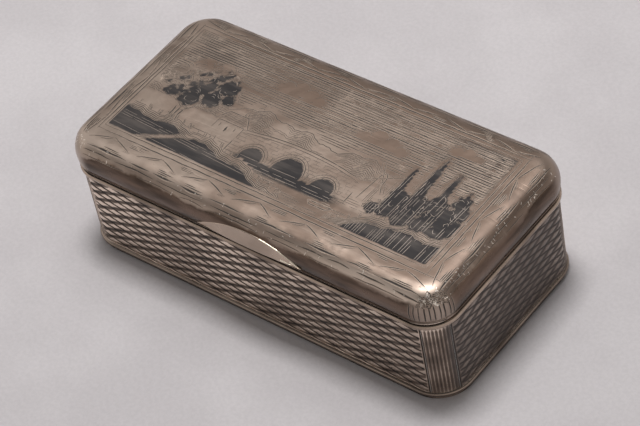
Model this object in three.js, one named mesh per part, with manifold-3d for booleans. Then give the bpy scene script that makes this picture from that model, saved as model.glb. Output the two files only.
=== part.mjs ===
import * as THREE from 'three';
import { mergeVertices } from 'three/addons/utils/BufferGeometryUtils.js';
import Module from 'manifold-3d';

// A silver snuff box: an engine-turned box with reeded corners, and a domed lid on an integral hinge.
// Millimetres. X runs along the box, the thumbpiece is at the front (-Y) and Z is up.
// The origin is at the middle of the whole object's base.

// The outline at the seam, and the heights
const boxLength = 84;
const boxDepth = 41.2;
const cornerRadius = 6.2;
const seamHeight = 19.6;
const lidHeight = 6.5;
const seamGap = 0.2;

// The box
const wallInset = 0.15;
const wallThickness = 0.9;
const baseThickness = 0.9;
const footHeight = 1.5;
const footProud = 0.5;
const footBellyHeight = 0.65;
const footCornerExtra = 0.5;
const rimHeight = 1.5;
const rimProud = 0.42;
const bezelThickness = 0.7;
const bezelRise = 1.4;
const bezelDrop = 4.5;
const bezelLeadIn = 0.35;
const bezelClearance = 0.2;

// The reeds on the box's round corners
const reedCount = 7;
const reedSpanDegrees = 64;
const reedGrooveRadius = 0.3;
const reedGrooveDepth = 0.22;

// The lid
const lidWireHeight = 0.45;
const lidWireProud = 0.22;
const lidFootOffset = 0.1;
const lidBulge = 0.45;
const lidStraightHeight = 2.4;
const lidInnerStraightHeight = 2.8;
const panelInset = 2.6;
const panelThickness = 0.8;
const panelLedge = 1.0;
const ledgeThickness = 0.5;

// The thumbpiece
const thumbLength = 23.4;
const thumbShift = 1.8;
const thumbBottom = 1.4;
const thumbTop = 4.5;
const thumbReach = 1.1;
const thumbTopReach = 0.35;
const solderGap = 0.1;

// The hinge
const hingeAxisInset = 0.7;
const hingeEndMargin = 0.3;
const knuckleRadius = 1.5;
const knuckleCount = 9;
const knuckleGap = 0.12;
const knuckleClearance = 0.15;
const knuckleFootTop = 0.3;
const lidKnuckleReach = 1.0;
const pinRadius = 0.6;
const pinClearance = 0.1;
const plugLength = 1.4;
const plugClearance = 0.04;
const bearerWidth = 0.6;
const boxBearerDepth = 3.2;
const bevelDegrees = 55;

// How finely round shapes are drawn
const cornerDivisions = 5;
const circleSides = 20;

// Places that follow from the sizes
const halfLength = boxLength / 2;
const halfDepth = boxDepth / 2;
const seamBottom = seamHeight - seamGap / 2;
const seamTop = seamHeight + seamGap / 2;
const rimBottom = seamBottom - rimHeight;
const totalHeight = seamHeight + lidHeight;
const wallInnerOffset = -(wallInset + wallThickness);
const lidInnerOffset = wallInnerOffset + bezelClearance;
const lidWireTop = seamTop + lidWireHeight;
const hingeY = halfDepth - hingeAxisInset;
const hingeHalf = halfLength - cornerRadius - hingeEndMargin;
const seatRadius = knuckleRadius + knuckleClearance;
const bearerInnerY = hingeY - seatRadius - bearerWidth;
const boreRadius = pinRadius + pinClearance;
const frontReach = halfDepth + thumbReach;
const backReach = hingeY + knuckleRadius;

const silver = { color: 0xa4968a, roughness: 0.34, metalness: 0.95 };
const turnedSilver = { color: 0x857a70, roughness: 0.42, metalness: 0.9 };
const nielloSilver = { color: 0x8c8279, roughness: 0.4, metalness: 0.85 };
const gilt = { color: 0xb08d4f, roughness: 0.32, metalness: 0.95 };
const pinMetal = { color: 0x8b857e, roughness: 0.4, metalness: 1.0 };

const wasm = await Module();
wasm.setup();

// A closed geometry as a solid that can be cut and joined.
function toSolid(geometry) {
  const bare = geometry.clone();
  bare.deleteAttribute('normal');
  bare.deleteAttribute('uv');
  const merged = mergeVertices(bare, 1e-5);
  const vertProperties = new Float32Array(merged.attributes.position.array);
  const triVerts = new Uint32Array(merged.index.array);
  return new wasm.Manifold(new wasm.Mesh({ numProp: 3, vertProperties, triVerts }));
}

// A solid back as a geometry with flat faces.
function toGeometry(solid) {
  const mesh = solid.getMesh();
  const geometry = new THREE.BufferGeometry();
  geometry.setAttribute('position', new THREE.BufferAttribute(new Float32Array(mesh.vertProperties), 3));
  geometry.setIndex(new THREE.BufferAttribute(new Uint32Array(mesh.triVerts), 1));
  return geometry;
}

// The box's outline, grown by an offset, as a shape with round corners.
function outline(offset, radius = cornerRadius + offset) {
  const x = halfLength + offset - radius;
  const y = halfDepth + offset - radius;
  const shape = new THREE.Shape();
  shape.absarc(x, y, radius, 0, Math.PI / 2);
  shape.absarc(-x, y, radius, Math.PI / 2, Math.PI);
  shape.absarc(-x, -y, radius, Math.PI, 1.5 * Math.PI);
  shape.absarc(x, -y, radius, 1.5 * Math.PI, 2 * Math.PI);
  shape.closePath();
  return shape;
}

// The outline's points, without the closing one.
function outlinePoints(offset, radius) {
  const points = outline(offset, radius).getPoints(cornerDivisions);
  return points.slice(0, -1);
}

// A closed section of [offset, height] points, swept once round the box's outline.
// cornerExtra widens the corner radius where the section stands proud of its first point.
function sweptRing(section, cornerExtra = 0) {
  const innerOffset = Math.min(...section.map(([offset]) => offset));
  const proud = Math.max(...section.map(([offset]) => offset)) - innerOffset;
  const positions = [];
  for (const [offset, z] of section) {
    const extra = cornerExtra * (offset - innerOffset) / proud;
    for (const point of outlinePoints(offset, cornerRadius + offset + extra)) {
      positions.push(point.x, point.y, z);
    }
  }
  const around = positions.length / 3 / section.length;
  const index = [];
  for (let i = 0; i < section.length; i++) {
    const next = (i + 1) % section.length;
    for (let j = 0; j < around; j++) {
      const side = (j + 1) % around;
      index.push(i * around + j, i * around + side, next * around + side);
      index.push(i * around + j, next * around + side, next * around + j);
    }
  }
  const geometry = new THREE.BufferGeometry();
  geometry.setAttribute('position', new THREE.Float32BufferAttribute(positions, 3));
  geometry.setIndex(index);
  return geometry;
}

// A flat shape made solid between two heights.
function plate(shape, bottom, top) {
  const geometry = new THREE.ExtrudeGeometry(shape, {
    depth: top - bottom,
    bevelEnabled: false,
    curveSegments: cornerDivisions,
  });
  return geometry.translate(0, 0, bottom);
}

// A section drawn in Y and Z, made solid between two places along X.
function barAlongX(shape, left, right) {
  const geometry = new THREE.ExtrudeGeometry(shape, {
    depth: right - left,
    bevelEnabled: false,
    curveSegments: circleSides / 2,
  });
  const turn = new THREE.Matrix4().set(0, 0, 1, left, 1, 0, 0, 0, 0, 1, 0, 0, 0, 0, 0, 1);
  return geometry.applyMatrix4(turn);
}

// A closed shape through [across, up] points.
function polygon(points) {
  return new THREE.Shape(points.map(([across, up]) => new THREE.Vector2(across, up)));
}

// The same points counted from the hinge axis: [backwards, up].
function fromHinge(points) {
  return points.map(([back, up]) => [hingeY + back, seamHeight + up]);
}

// The points of an ellipse's arc, as [across, up].
function ellipsePoints(cx, cy, rx, ry, startDegrees, endDegrees, steps) {
  const start = THREE.MathUtils.degToRad(startDegrees);
  const end = THREE.MathUtils.degToRad(endDegrees);
  const curve = new THREE.EllipseCurve(cx, cy, rx, ry, start, end, end < start);
  return curve.getPoints(steps).map((point) => [point.x, point.y]);
}

// The room that the hinge needs in the box (side -1) or in the lid (side 1):
// a square seat for the knuckles, and a bevel along the whole back edge behind the axis.
function hingeRoom(side) {
  const outside = cornerRadius;
  const beyond = -side * lidHeight;
  const seat = polygon(fromHinge([
    [-seatRadius, beyond],
    [outside, beyond],
    [outside, side * seatRadius],
    [-seatRadius, side * seatRadius],
  ]));
  const rise = side * outside * Math.tan(THREE.MathUtils.degToRad(bevelDegrees));
  const bevel = polygon(fromHinge([[0, beyond], [outside, beyond], [outside, rise], [0, 0]]));
  const end = hingeHalf + knuckleClearance;
  const seatSolid = toSolid(barAlongX(seat, -end, end));
  return seatSolid.add(toSolid(barAlongX(bevel, -boxLength, boxLength)));
}

const boxHingeRoom = hingeRoom(-1);
const lidHingeRoom = hingeRoom(1);

// The upright grooves that leave the reeds standing on the four corners.
function reedGrooves() {
  const surfaceRadius = cornerRadius - wallInset;
  const centreRadius = surfaceRadius + reedGrooveRadius - reedGrooveDepth;
  const circle = new THREE.Shape().absarc(0, 0, reedGrooveRadius, 0, 2 * Math.PI);
  const groove = new THREE.ExtrudeGeometry(circle, {
    depth: rimBottom - footHeight,
    bevelEnabled: false,
    curveSegments: 4,
  });
  const grooves = [];
  for (const sideX of [-1, 1]) {
    for (const sideY of [-1, 1]) {
      for (let i = 0; i <= reedCount; i++) {
        const degrees = 45 + reedSpanDegrees * (i / reedCount - 0.5);
        const angle = THREE.MathUtils.degToRad(degrees);
        const x = sideX * (halfLength - cornerRadius + centreRadius * Math.cos(angle));
        const y = sideY * (halfDepth - cornerRadius + centreRadius * Math.sin(angle));
        grooves.push(toSolid(groove.clone().translate(x, y, footHeight)));
      }
    }
  }
  return wasm.Manifold.union(grooves);
}

// The box's wall: one band of silver, seated on the base plate.
function boxWall() {
  const band = sweptRing([
    [wallInnerOffset, baseThickness],
    [-wallInset, baseThickness],
    [-wallInset, seamBottom],
    [wallInnerOffset, seamBottom],
  ]);
  return toGeometry(toSolid(band).subtract(boxHingeRoom).subtract(reedGrooves()));
}

function basePlate() {
  return plate(outline(-wallInset), 0, baseThickness);
}

// The round moulding that the box stands on.
function footMoulding() {
  const topRadius = footHeight - footBellyHeight;
  const lowest = -THREE.MathUtils.radToDeg(Math.asin(footBellyHeight / topRadius));
  const belly = ellipsePoints(-wallInset, footBellyHeight, footProud, topRadius, lowest, 90, 6);
  return sweptRing([[-wallInset, 0], ...belly], footCornerExtra);
}

// The bead under the seam, which stops at the two ends of the hinge.
function rimMoulding() {
  const bead = ellipsePoints(-wallInset, seamBottom - rimHeight / 2, rimProud, rimHeight / 2, -90, 90, 8);
  return toGeometry(toSolid(sweptRing(bead)).subtract(boxHingeRoom));
}

// The springy lip inside the box that the lid closes over, open at the hinge.
function innerBezel() {
  const inner = wallInnerOffset - bezelThickness;
  const top = seamHeight + bezelRise;
  const strip = sweptRing([
    [inner, seamHeight - bezelDrop],
    [wallInnerOffset, seamHeight - bezelDrop],
    [wallInnerOffset, top - bezelLeadIn],
    [wallInnerOffset - bezelLeadIn / 2, top],
    [inner, top],
  ]);
  const back = polygon([
    [bearerInnerY - knuckleClearance, 0],
    [boxDepth, 0],
    [boxDepth, totalHeight],
    [bearerInnerY - knuckleClearance, totalHeight],
  ]);
  return toGeometry(toSolid(strip).subtract(toSolid(barAlongX(back, -boxLength, boxLength))));
}

// The L-shaped strips that carry the knuckles, inside the box and inside the lid.
function boxHingeBearer() {
  const inner = -seatRadius - bearerWidth;
  const wallFace = hingeAxisInset + wallInnerOffset;
  return barAlongX(polygon(fromHinge([
    [inner, -boxBearerDepth],
    [wallFace, -boxBearerDepth],
    [wallFace, -seatRadius],
    [-seatRadius, -seatRadius],
    [-seatRadius, -seamGap / 2],
    [inner, -seamGap / 2],
  ])), -hingeHalf, hingeHalf);
}

function lidHingeBearer() {
  const inner = -seatRadius - bearerWidth;
  const wallFace = hingeAxisInset + lidInnerOffset;
  return barAlongX(polygon(fromHinge([
    [inner, seamGap / 2],
    [-seatRadius, seamGap / 2],
    [-seatRadius, seatRadius],
    [wallFace, seatRadius],
    [wallFace, lidInnerStraightHeight],
    [inner, lidInnerStraightHeight],
  ])), -hingeHalf, hingeHalf);
}

// One knuckle: a tube with a foot that seats square in the box (side -1) or in the lid (side 1).
function knuckle(side, reach, left, right) {
  const innerAngle = Math.asin(knuckleFootTop / knuckleRadius);
  const outerAngle = Math.acos(reach / knuckleRadius);
  const shape = new THREE.Shape();
  const [from, to] = [Math.PI + side * -innerAngle, side * outerAngle];
  shape.absarc(hingeY, seamHeight, knuckleRadius, from, to, side < 0);
  shape.lineTo(hingeY + reach, seamHeight + side * seatRadius);
  shape.lineTo(hingeY - seatRadius, seamHeight + side * seatRadius);
  shape.lineTo(hingeY - seatRadius, seamHeight + side * knuckleFootTop);
  shape.closePath();
  const bore = new THREE.Path().absarc(hingeY, seamHeight, boreRadius, 0, 2 * Math.PI);
  shape.holes.push(bore);
  return barAlongX(shape, left, right);
}

// A round bar on the hinge axis.
function axisBar(radius, left, right) {
  const circle = new THREE.Shape().absarc(hingeY, seamHeight, radius, 0, 2 * Math.PI);
  return barAlongX(circle, left, right);
}

// The lid's outer face from its edge wire up over the shoulder, as [offset, height] points.
function lidOuterCurve(grow = 0) {
  const start = new THREE.Vector2(lidFootOffset, lidWireTop);
  const bend = new THREE.Vector2(lidBulge, (lidWireTop + seamHeight + lidStraightHeight) / 2);
  const end = new THREE.Vector2(lidBulge, seamHeight + lidStraightHeight);
  const side = new THREE.QuadraticBezierCurve(start, bend, end).getPoints(3);
  const run = lidBulge + panelInset;
  const rise = lidHeight - lidStraightHeight;
  const shoulder = ellipsePoints(-panelInset, end.y, run, rise, 0, 90, 7);
  const points = [...side.map((point) => [point.x, point.y]), ...shoulder.slice(1)];
  return points.map(([offset, z]) => [offset + grow, z + (z > end.y ? grow : 0)]);
}

// The lid's sides and rounded shoulder, with a ledge that the panel is let into.
function lidFrame() {
  const innerTop = totalHeight - panelThickness - ledgeThickness;
  const innerBend = seamHeight + lidInnerStraightHeight;
  const ledgeOffset = -panelInset - panelLedge;
  const hollow = ellipsePoints(
    ledgeOffset, innerBend, lidInnerOffset - ledgeOffset, innerTop - innerBend, 90, 0, 5,
  );
  const ring = sweptRing([
    ...lidOuterCurve(),
    [-panelInset, totalHeight - panelThickness],
    [ledgeOffset, totalHeight - panelThickness],
    ...hollow,
    [lidInnerOffset, lidWireTop],
  ]);
  return toGeometry(toSolid(ring).subtract(lidHingeRoom));
}

function lidPanel() {
  return plate(outline(-panelInset), totalHeight - panelThickness, totalHeight);
}

// The thin fillet along the lid's lower edge, which stops at the two ends of the hinge.
function lidEdgeWire() {
  const middle = seamTop + lidWireHeight / 2;
  const round = ellipsePoints(0, middle, lidWireProud, lidWireHeight / 2, -90, 90, 6);
  const ring = sweptRing([[lidInnerOffset, seamTop], ...round, [lidInnerOffset, lidWireTop]]);
  return toGeometry(toSolid(ring).subtract(lidHingeRoom));
}

// The crescent lip on the front of the lid: an arch seen from the front and from above,
// with a sloping face, thinning out to the lid's side at both tips.
function thumbpiece() {
  const half = thumbLength / 2;
  const rootY = -halfDepth + panelInset;
  const bottomZ = seamHeight + thumbBottom;
  const topZ = seamHeight + thumbTop;
  const tipY = -(halfDepth + lidBulge + solderGap);
  const plan = new THREE.Shape();
  plan.moveTo(half, rootY);
  plan.lineTo(-half, rootY);
  plan.lineTo(-half, tipY);
  plan.quadraticCurveTo(0, 2 * -frontReach - tipY, half, tipY);
  plan.closePath();
  const lip = new THREE.ExtrudeGeometry(plan, {
    depth: topZ - bottomZ,
    bevelEnabled: false,
    curveSegments: 14,
  }).translate(thumbShift, 0, bottomZ);
  const arch = new THREE.Shape();
  arch.moveTo(-half, 0);
  arch.quadraticCurveTo(0, 2 * (thumbTop - thumbBottom), half, 0);
  arch.closePath();
  const front = new THREE.ExtrudeGeometry(arch, {
    depth: boxDepth,
    bevelEnabled: false,
    curveSegments: 14,
  }).applyMatrix4(new THREE.Matrix4().set(1, 0, 0, thumbShift, 0, 0, -1, 0, 0, 1, 0, bottomZ, 0, 0, 0, 1));
  const outside = -boxDepth;
  const slope = polygon([
    [-frontReach, bottomZ],
    [-halfDepth - thumbTopReach, topZ],
    [outside, topZ],
    [outside, bottomZ],
  ]);
  const seat = sweptRing([
    ...lidOuterCurve(solderGap),
    [-2 * panelInset, totalHeight + solderGap],
    [-2 * panelInset, lidWireTop],
  ]);
  return toGeometry(toSolid(lip)
    .intersect(toSolid(front))
    .subtract(toSolid(barAlongX(slope, -halfLength, halfLength)))
    .subtract(toSolid(seat)));
}

function piece(name, geometry, look) {
  const mesh = new THREE.Mesh(geometry, new THREE.MeshStandardMaterial({ ...look, flatShading: true }));
  mesh.name = name;
  return mesh;
}

const box = new THREE.Group();
const lid = new THREE.Group();

box.add(piece('box_wall', boxWall(), turnedSilver));
box.add(piece('base_plate', basePlate(), silver));
box.add(piece('foot_moulding', footMoulding(), silver));
box.add(piece('rim_moulding', rimMoulding(), silver));
box.add(piece('inner_bezel', innerBezel(), gilt));
box.add(piece('box_hinge_bearer', boxHingeBearer(), silver));
lid.add(piece('lid_frame', lidFrame(), silver));
lid.add(piece('lid_panel', lidPanel(), nielloSilver));
lid.add(piece('lid_edge_wire', lidEdgeWire(), silver));
lid.add(piece('lid_hinge_bearer', lidHingeBearer(), silver));
lid.add(piece('thumbpiece', thumbpiece(), silver));

// The knuckles take turns between the box and the lid, and the box has both ends.
const knucklePitch = (2 * hingeHalf + knuckleGap) / knuckleCount;
for (let i = 0; i < knuckleCount; i++) {
  const left = -hingeHalf + i * knucklePitch;
  const right = left + knucklePitch - knuckleGap;
  const number = Math.floor(i / 2) + 1;
  if (i % 2 === 0) {
    const reach = hingeAxisInset - wallInset;
    box.add(piece(`box_knuckle_${number}`, knuckle(-1, reach, left, right), silver));
  } else {
    lid.add(piece(`lid_knuckle_${number}`, knuckle(1, lidKnuckleReach, left, right), silver));
  }
}

// The pin stops short of both ends, and a flush plug closes each end of the hinge.
const pinHalf = hingeHalf - plugLength - knuckleGap;
box.add(piece('hinge_pin', axisBar(pinRadius, -pinHalf, pinHalf), pinMetal));
const plugRadius = boreRadius - plugClearance;
const plugStart = hingeHalf - plugLength;
box.add(piece('hinge_plug_left', axisBar(plugRadius, -hingeHalf, -plugStart), silver));
box.add(piece('hinge_plug_right', axisBar(plugRadius, plugStart, hingeHalf), silver));

// The lip at the front and the knuckles at the back stand proud by different amounts.
const snuffBox = new THREE.Group();
snuffBox.add(box, lid);
snuffBox.position.y = (frontReach - backReach) / 2;

export default snuffBox;
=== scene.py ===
"""The looks of a silver snuff box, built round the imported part.

The classes hold sizes in millimetres and the meshes are in metres. X runs along the box, the
thumbpiece is at the front, which is -Y, and Z is up.
"""

import logging
import math
import random
from collections.abc import Callable, Iterable, Sequence
from dataclasses import dataclass, field
from enum import Enum
from typing import Any

import bmesh
import bpy
import numpy as np
from mathutils import Matrix, Vector, noise


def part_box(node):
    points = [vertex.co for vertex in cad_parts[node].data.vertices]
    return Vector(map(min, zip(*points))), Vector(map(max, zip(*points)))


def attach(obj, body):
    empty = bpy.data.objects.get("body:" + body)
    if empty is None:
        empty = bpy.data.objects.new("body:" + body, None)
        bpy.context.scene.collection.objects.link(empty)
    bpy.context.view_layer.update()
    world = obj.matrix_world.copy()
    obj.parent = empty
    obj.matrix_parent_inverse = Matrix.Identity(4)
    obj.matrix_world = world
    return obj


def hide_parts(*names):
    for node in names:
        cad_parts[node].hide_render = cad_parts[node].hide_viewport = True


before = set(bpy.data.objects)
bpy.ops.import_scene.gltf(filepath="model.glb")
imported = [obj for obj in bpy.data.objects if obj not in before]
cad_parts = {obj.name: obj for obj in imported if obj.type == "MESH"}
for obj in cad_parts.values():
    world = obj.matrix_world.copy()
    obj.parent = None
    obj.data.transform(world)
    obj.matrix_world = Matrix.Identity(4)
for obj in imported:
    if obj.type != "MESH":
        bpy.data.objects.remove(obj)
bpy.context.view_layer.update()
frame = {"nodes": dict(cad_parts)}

LOG = logging.getLogger("snuff_box")
MM = 0.001
Piece = bpy.types.Object
Material = bpy.types.Material
Work = bmesh.types.BMesh
Colour = tuple[float, float, float]
Points = np.ndarray
Section = Sequence[tuple[float, float]]
Place = tuple[float, float, float]
Ball = tuple[float, float, float]
Area = tuple[float, float, float, float]
Tone = Callable[[Points, Points], Points]


# Helpers for meshes


def plain_mesh(name: str, vertices: Iterable, faces: Iterable = (), edges: Iterable = ()) -> Piece:
    """Makes an object from points in millimetres.

    Args:
        name: The object's name.
        vertices: Its points.
        faces: Its faces, as lists of indices.
        edges: Its loose edges, as pairs of indices.

    Returns:
        The object, in the scene and at the origin.
    """
    mesh = bpy.data.meshes.new(name)
    mesh.from_pydata((np.array(vertices, float) * MM).tolist(), list(edges), list(faces))
    mesh.update()
    return place_object(name, mesh)


def place_object(name: str, data: Any) -> Piece:
    """Makes an object from its data and links it to the scene."""
    made = bpy.data.objects.new(name, data)
    bpy.context.scene.collection.objects.link(made)
    return made


def flatten(piece: Piece) -> Piece:
    """Turns an object's modifiers into its own plain mesh.

    Args:
        piece: The object, with its modifiers.

    Returns:
        The same object without modifiers.
    """
    graph = bpy.context.evaluated_depsgraph_get()
    mesh = bpy.data.meshes.new_from_object(
        piece.evaluated_get(graph), preserve_all_data_layers=True, depsgraph=graph
    )
    piece.modifiers.clear()
    piece.data = mesh
    mesh.name = piece.name
    return piece


def discard(*helpers: Piece) -> None:
    """Removes objects that only helped to shape others."""
    for helper in helpers:
        bpy.data.objects.remove(helper)


def weld(work: Work) -> None:
    """Joins points that lie in one place."""
    bmesh.ops.remove_doubles(work, verts=work.verts, dist=0.002 * MM)


def edit(piece: Piece, *changes: Callable[[Work], None]) -> Piece:
    """Changes a piece's mesh, welds it and turns its faces outwards.

    Args:
        piece: The piece.
        *changes: What is done to its mesh first, if anything.

    Returns:
        The piece.
    """
    work = bmesh.new()
    work.from_mesh(piece.data)
    for change in (*changes, weld):
        change(work)
    bmesh.ops.recalc_face_normals(work, faces=work.faces)
    work.to_mesh(piece.data)
    work.free()
    return piece


def ring_faces(low: int, high: int, count: int) -> list[tuple[int, ...]]:
    """Gives the faces between two rings of points, from where each starts."""
    steps = [(j, (j + 1) % count) for j in range(count)]
    return [(low + j, low + k, high + k, high + j) for j, k in steps]


def loft(name: str, rings: Sequence[Points], closed: bool = False) -> Piece:
    """Skins rings of points that all have the same count.

    Args:
        name: The piece's name.
        rings: The rings, each an array of points in millimetres.
        closed: True joins the last ring to the first, False caps both ends.

    Returns:
        The piece.
    """
    count, total = len(rings[0]), len(rings)
    faces = []
    for i in range(total if closed else total - 1):
        faces += ring_faces(i * count, (i + 1) % total * count, count)
    if not closed:
        faces += [tuple(range(count)), tuple(range((total - 1) * count, total * count))]
    return edit(plain_mesh(name, np.concatenate(rings), faces))


def prism(name: str, section: Section, left: float, right: float) -> Piece:
    """Makes a bar along X from its [y, z] section between two places."""
    return loft(name, [np.array([(x, y, z) for y, z in section]) for x in (left, right)])


def cut_away(piece: Piece, *cutters: Piece) -> Piece:
    """Takes the cutters' room out of a piece and removes the cutters.

    Args:
        piece: The piece to cut.
        cutters: Closed solids.

    Returns:
        The piece.
    """
    for cutter in cutters:
        cut = piece.modifiers.new("Cut", "BOOLEAN")
        cut.operation = "DIFFERENCE"
        cut.solver = "EXACT"
        cut.object = cutter
    flatten(piece)
    discard(*cutters)
    return piece


def smooth(piece: Piece, degrees: float) -> Piece:
    """Shades a piece smooth, with sharp edges above an angle."""
    piece.data.shade_smooth()
    piece.data.set_sharp_from_angle(angle=math.radians(degrees))
    return piece


def store(piece: Piece, name: str, values: Points) -> None:
    """Keeps a value at each of a piece's points."""
    kept = piece.data.attributes.new(name, "FLOAT", "POINT")
    kept.data.foreach_set("value", values.astype(np.float32))


def paint_faces(piece: Piece, finish: Material, here: Callable[[Vector, Vector], bool]) -> None:
    """Gives some of a piece's faces another finish.

    Args:
        piece: The piece, with its first material in place.
        finish: The other finish.
        here: Tells from a face's centre, in millimetres, and normal whether it gets the finish.
    """
    slots = piece.data.materials
    if finish not in list(slots):
        slots.append(finish)
    slot = list(slots).index(finish)
    for face in piece.data.polygons:
        if here(face.center / MM, face.normal):
            face.material_index = slot


def arc(
    cy: float, cz: float, ry: float, rz: float, start: float, end: float, steps: int
) -> list[tuple[float, float]]:
    """Gives the points of an ellipse's arc, between two angles in degrees."""
    angles = np.radians(np.linspace(start, end, steps + 1))
    return [(cy + ry * math.cos(a), cz + rz * math.sin(a)) for a in angles]


# The sizes that pieces share


@dataclass(frozen=True)
class Outline:
    """The rounded rectangle that every part of the box follows."""

    half_length: float = 42.0
    half_depth: float = 20.6
    corner_radius: float = 6.2
    middle_y: float = 0.15
    arc_steps: int = 16
    long_steps: int = 150
    short_steps: int = 60

    @property
    def centre(self) -> tuple[float, float]:
        """The centre of the back right corner's arc, with the outline's middle at the origin."""
        return self.half_length - self.corner_radius, self.half_depth - self.corner_radius

    def ring(self, offset: float) -> Points:
        """Gives the outline's points, counter-clockwise from the right end's back corner.

        Args:
            offset: How far the ring lies outside the seam's outline.

        Returns:
            An array of [x, y] points.
        """
        radius = max(self.corner_radius + offset, 0.0)
        x, y = self.half_length + offset - radius, self.half_depth + offset - radius
        centres = [(x, y), (-x, y), (-x, -y), (x, -y)]
        points: list[tuple[float, float]] = []
        for turn, (cx, cy) in enumerate(centres):
            points += arc(cx, cy, radius, radius, 90 * turn, 90 * turn + 90, self.arc_steps)
            steps = self.short_steps if turn % 2 else self.long_steps
            start = np.array(points[-1])
            end = centres[(turn + 1) % 4] + radius * np.array([(0, 1), (-1, 0), (0, -1), (1, 0)][turn])
            points += [tuple(start + (end - start) * i / steps) for i in range(1, steps)]
        return np.array(points) + (0, self.middle_y)

    def solid_ring(self, offset: float, z: float) -> Points:
        """Gives the same ring as [x, y, z] points at a height."""
        flat = self.ring(offset)
        return np.column_stack([flat, np.full(len(flat), z)])

    def offset_at(self, x: Points, y: Points) -> Points:
        """Tells how far places lie outside the seam's outline."""
        dx = np.abs(x) - self.centre[0]
        dy = np.abs(np.asarray(y) - self.middle_y) - self.centre[1]
        outside = np.hypot(np.maximum(dx, 0), np.maximum(dy, 0))
        return outside + np.minimum(np.maximum(dx, dy), 0) - self.corner_radius


OUTLINE = Outline()


class Leaf(Enum):
    """The two halves of the hinge, with the side that their feet point to."""

    BOX = -1
    LID = 1


@dataclass(frozen=True)
class Heights:
    """The heights and hinge sizes that the pieces share."""

    base: float = 0.9
    foot: float = 1.5
    rim: float = 18.0
    seam_bottom: float = 19.5
    seam: float = 19.6
    seam_top: float = 19.7
    wire_top: float = 20.15
    top: float = 26.1
    wall: float = -0.15
    wall_inside: float = -1.05
    lid_inside: float = -0.85
    hinge_y: float = 20.05
    hinge_end: float = 35.5
    knuckle: float = 1.5
    seat: float = 1.65
    clearance: float = 0.15
    bevel: float = 55.0
    reed_span: float = 51.0
    far_back: float = 8.0
    far_out: float = 60.0

    def clear_hinge(self, piece: Piece, leaf: Leaf) -> Piece:
        """Cuts the hinge's seat and the bevel behind it out of a piece.

        Args:
            piece: The piece.
            leaf: The half of the hinge that it belongs to.

        Returns:
            The piece.
        """
        y, z, way = self.hinge_y, self.seam, leaf.value
        front, back, beyond = y - self.seat, y + self.far_back, z - way * (self.far_back - 1)
        floor, end = z + way * self.seat, self.hinge_end + self.clearance
        seat = [(front, beyond), (back, beyond), (back, floor), (front, floor)]
        rise = way * self.far_back * math.tan(math.radians(self.bevel))
        bevel = [(y, beyond), (back, beyond), (back, z + rise), (y, z)]
        return cut_away(
            piece,
            prism("seat_cutter", seat, -end, end),
            prism("bevel_cutter", bevel, -self.far_out, self.far_out),
        )


H = Heights()


# Helpers for node trees


class Value:
    """What a socket gives, for plain arithmetic in a node tree."""

    def __init__(self, writer: "NodeWriter", socket: bpy.types.NodeSocket) -> None:
        """Notes the socket and the writer of its tree."""
        self.writer, self.socket = writer, socket

    def other(self, key: int | str) -> "Value":
        """Gives another output of the same node."""
        return Value(self.writer, self.writer.pick(self.socket.node.outputs, key))

    def __add__(self, other: Any) -> "Value":
        """Adds."""
        return self.writer.math("ADD", self, other)

    def __sub__(self, other: Any) -> "Value":
        """Subtracts."""
        return self.writer.math("SUBTRACT", self, other)

    def __rsub__(self, other: Any) -> "Value":
        """Subtracts this from a number."""
        return self.writer.math("SUBTRACT", other, self)

    def __mul__(self, other: Any) -> "Value":
        """Multiplies."""
        return self.writer.math("MULTIPLY", self, other)

    def __truediv__(self, other: Any) -> "Value":
        """Divides."""
        return self.writer.math("DIVIDE", self, other)

    def __abs__(self) -> "Value":
        """Drops the sign."""
        return self.writer.math("ABSOLUTE", self)


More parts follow.
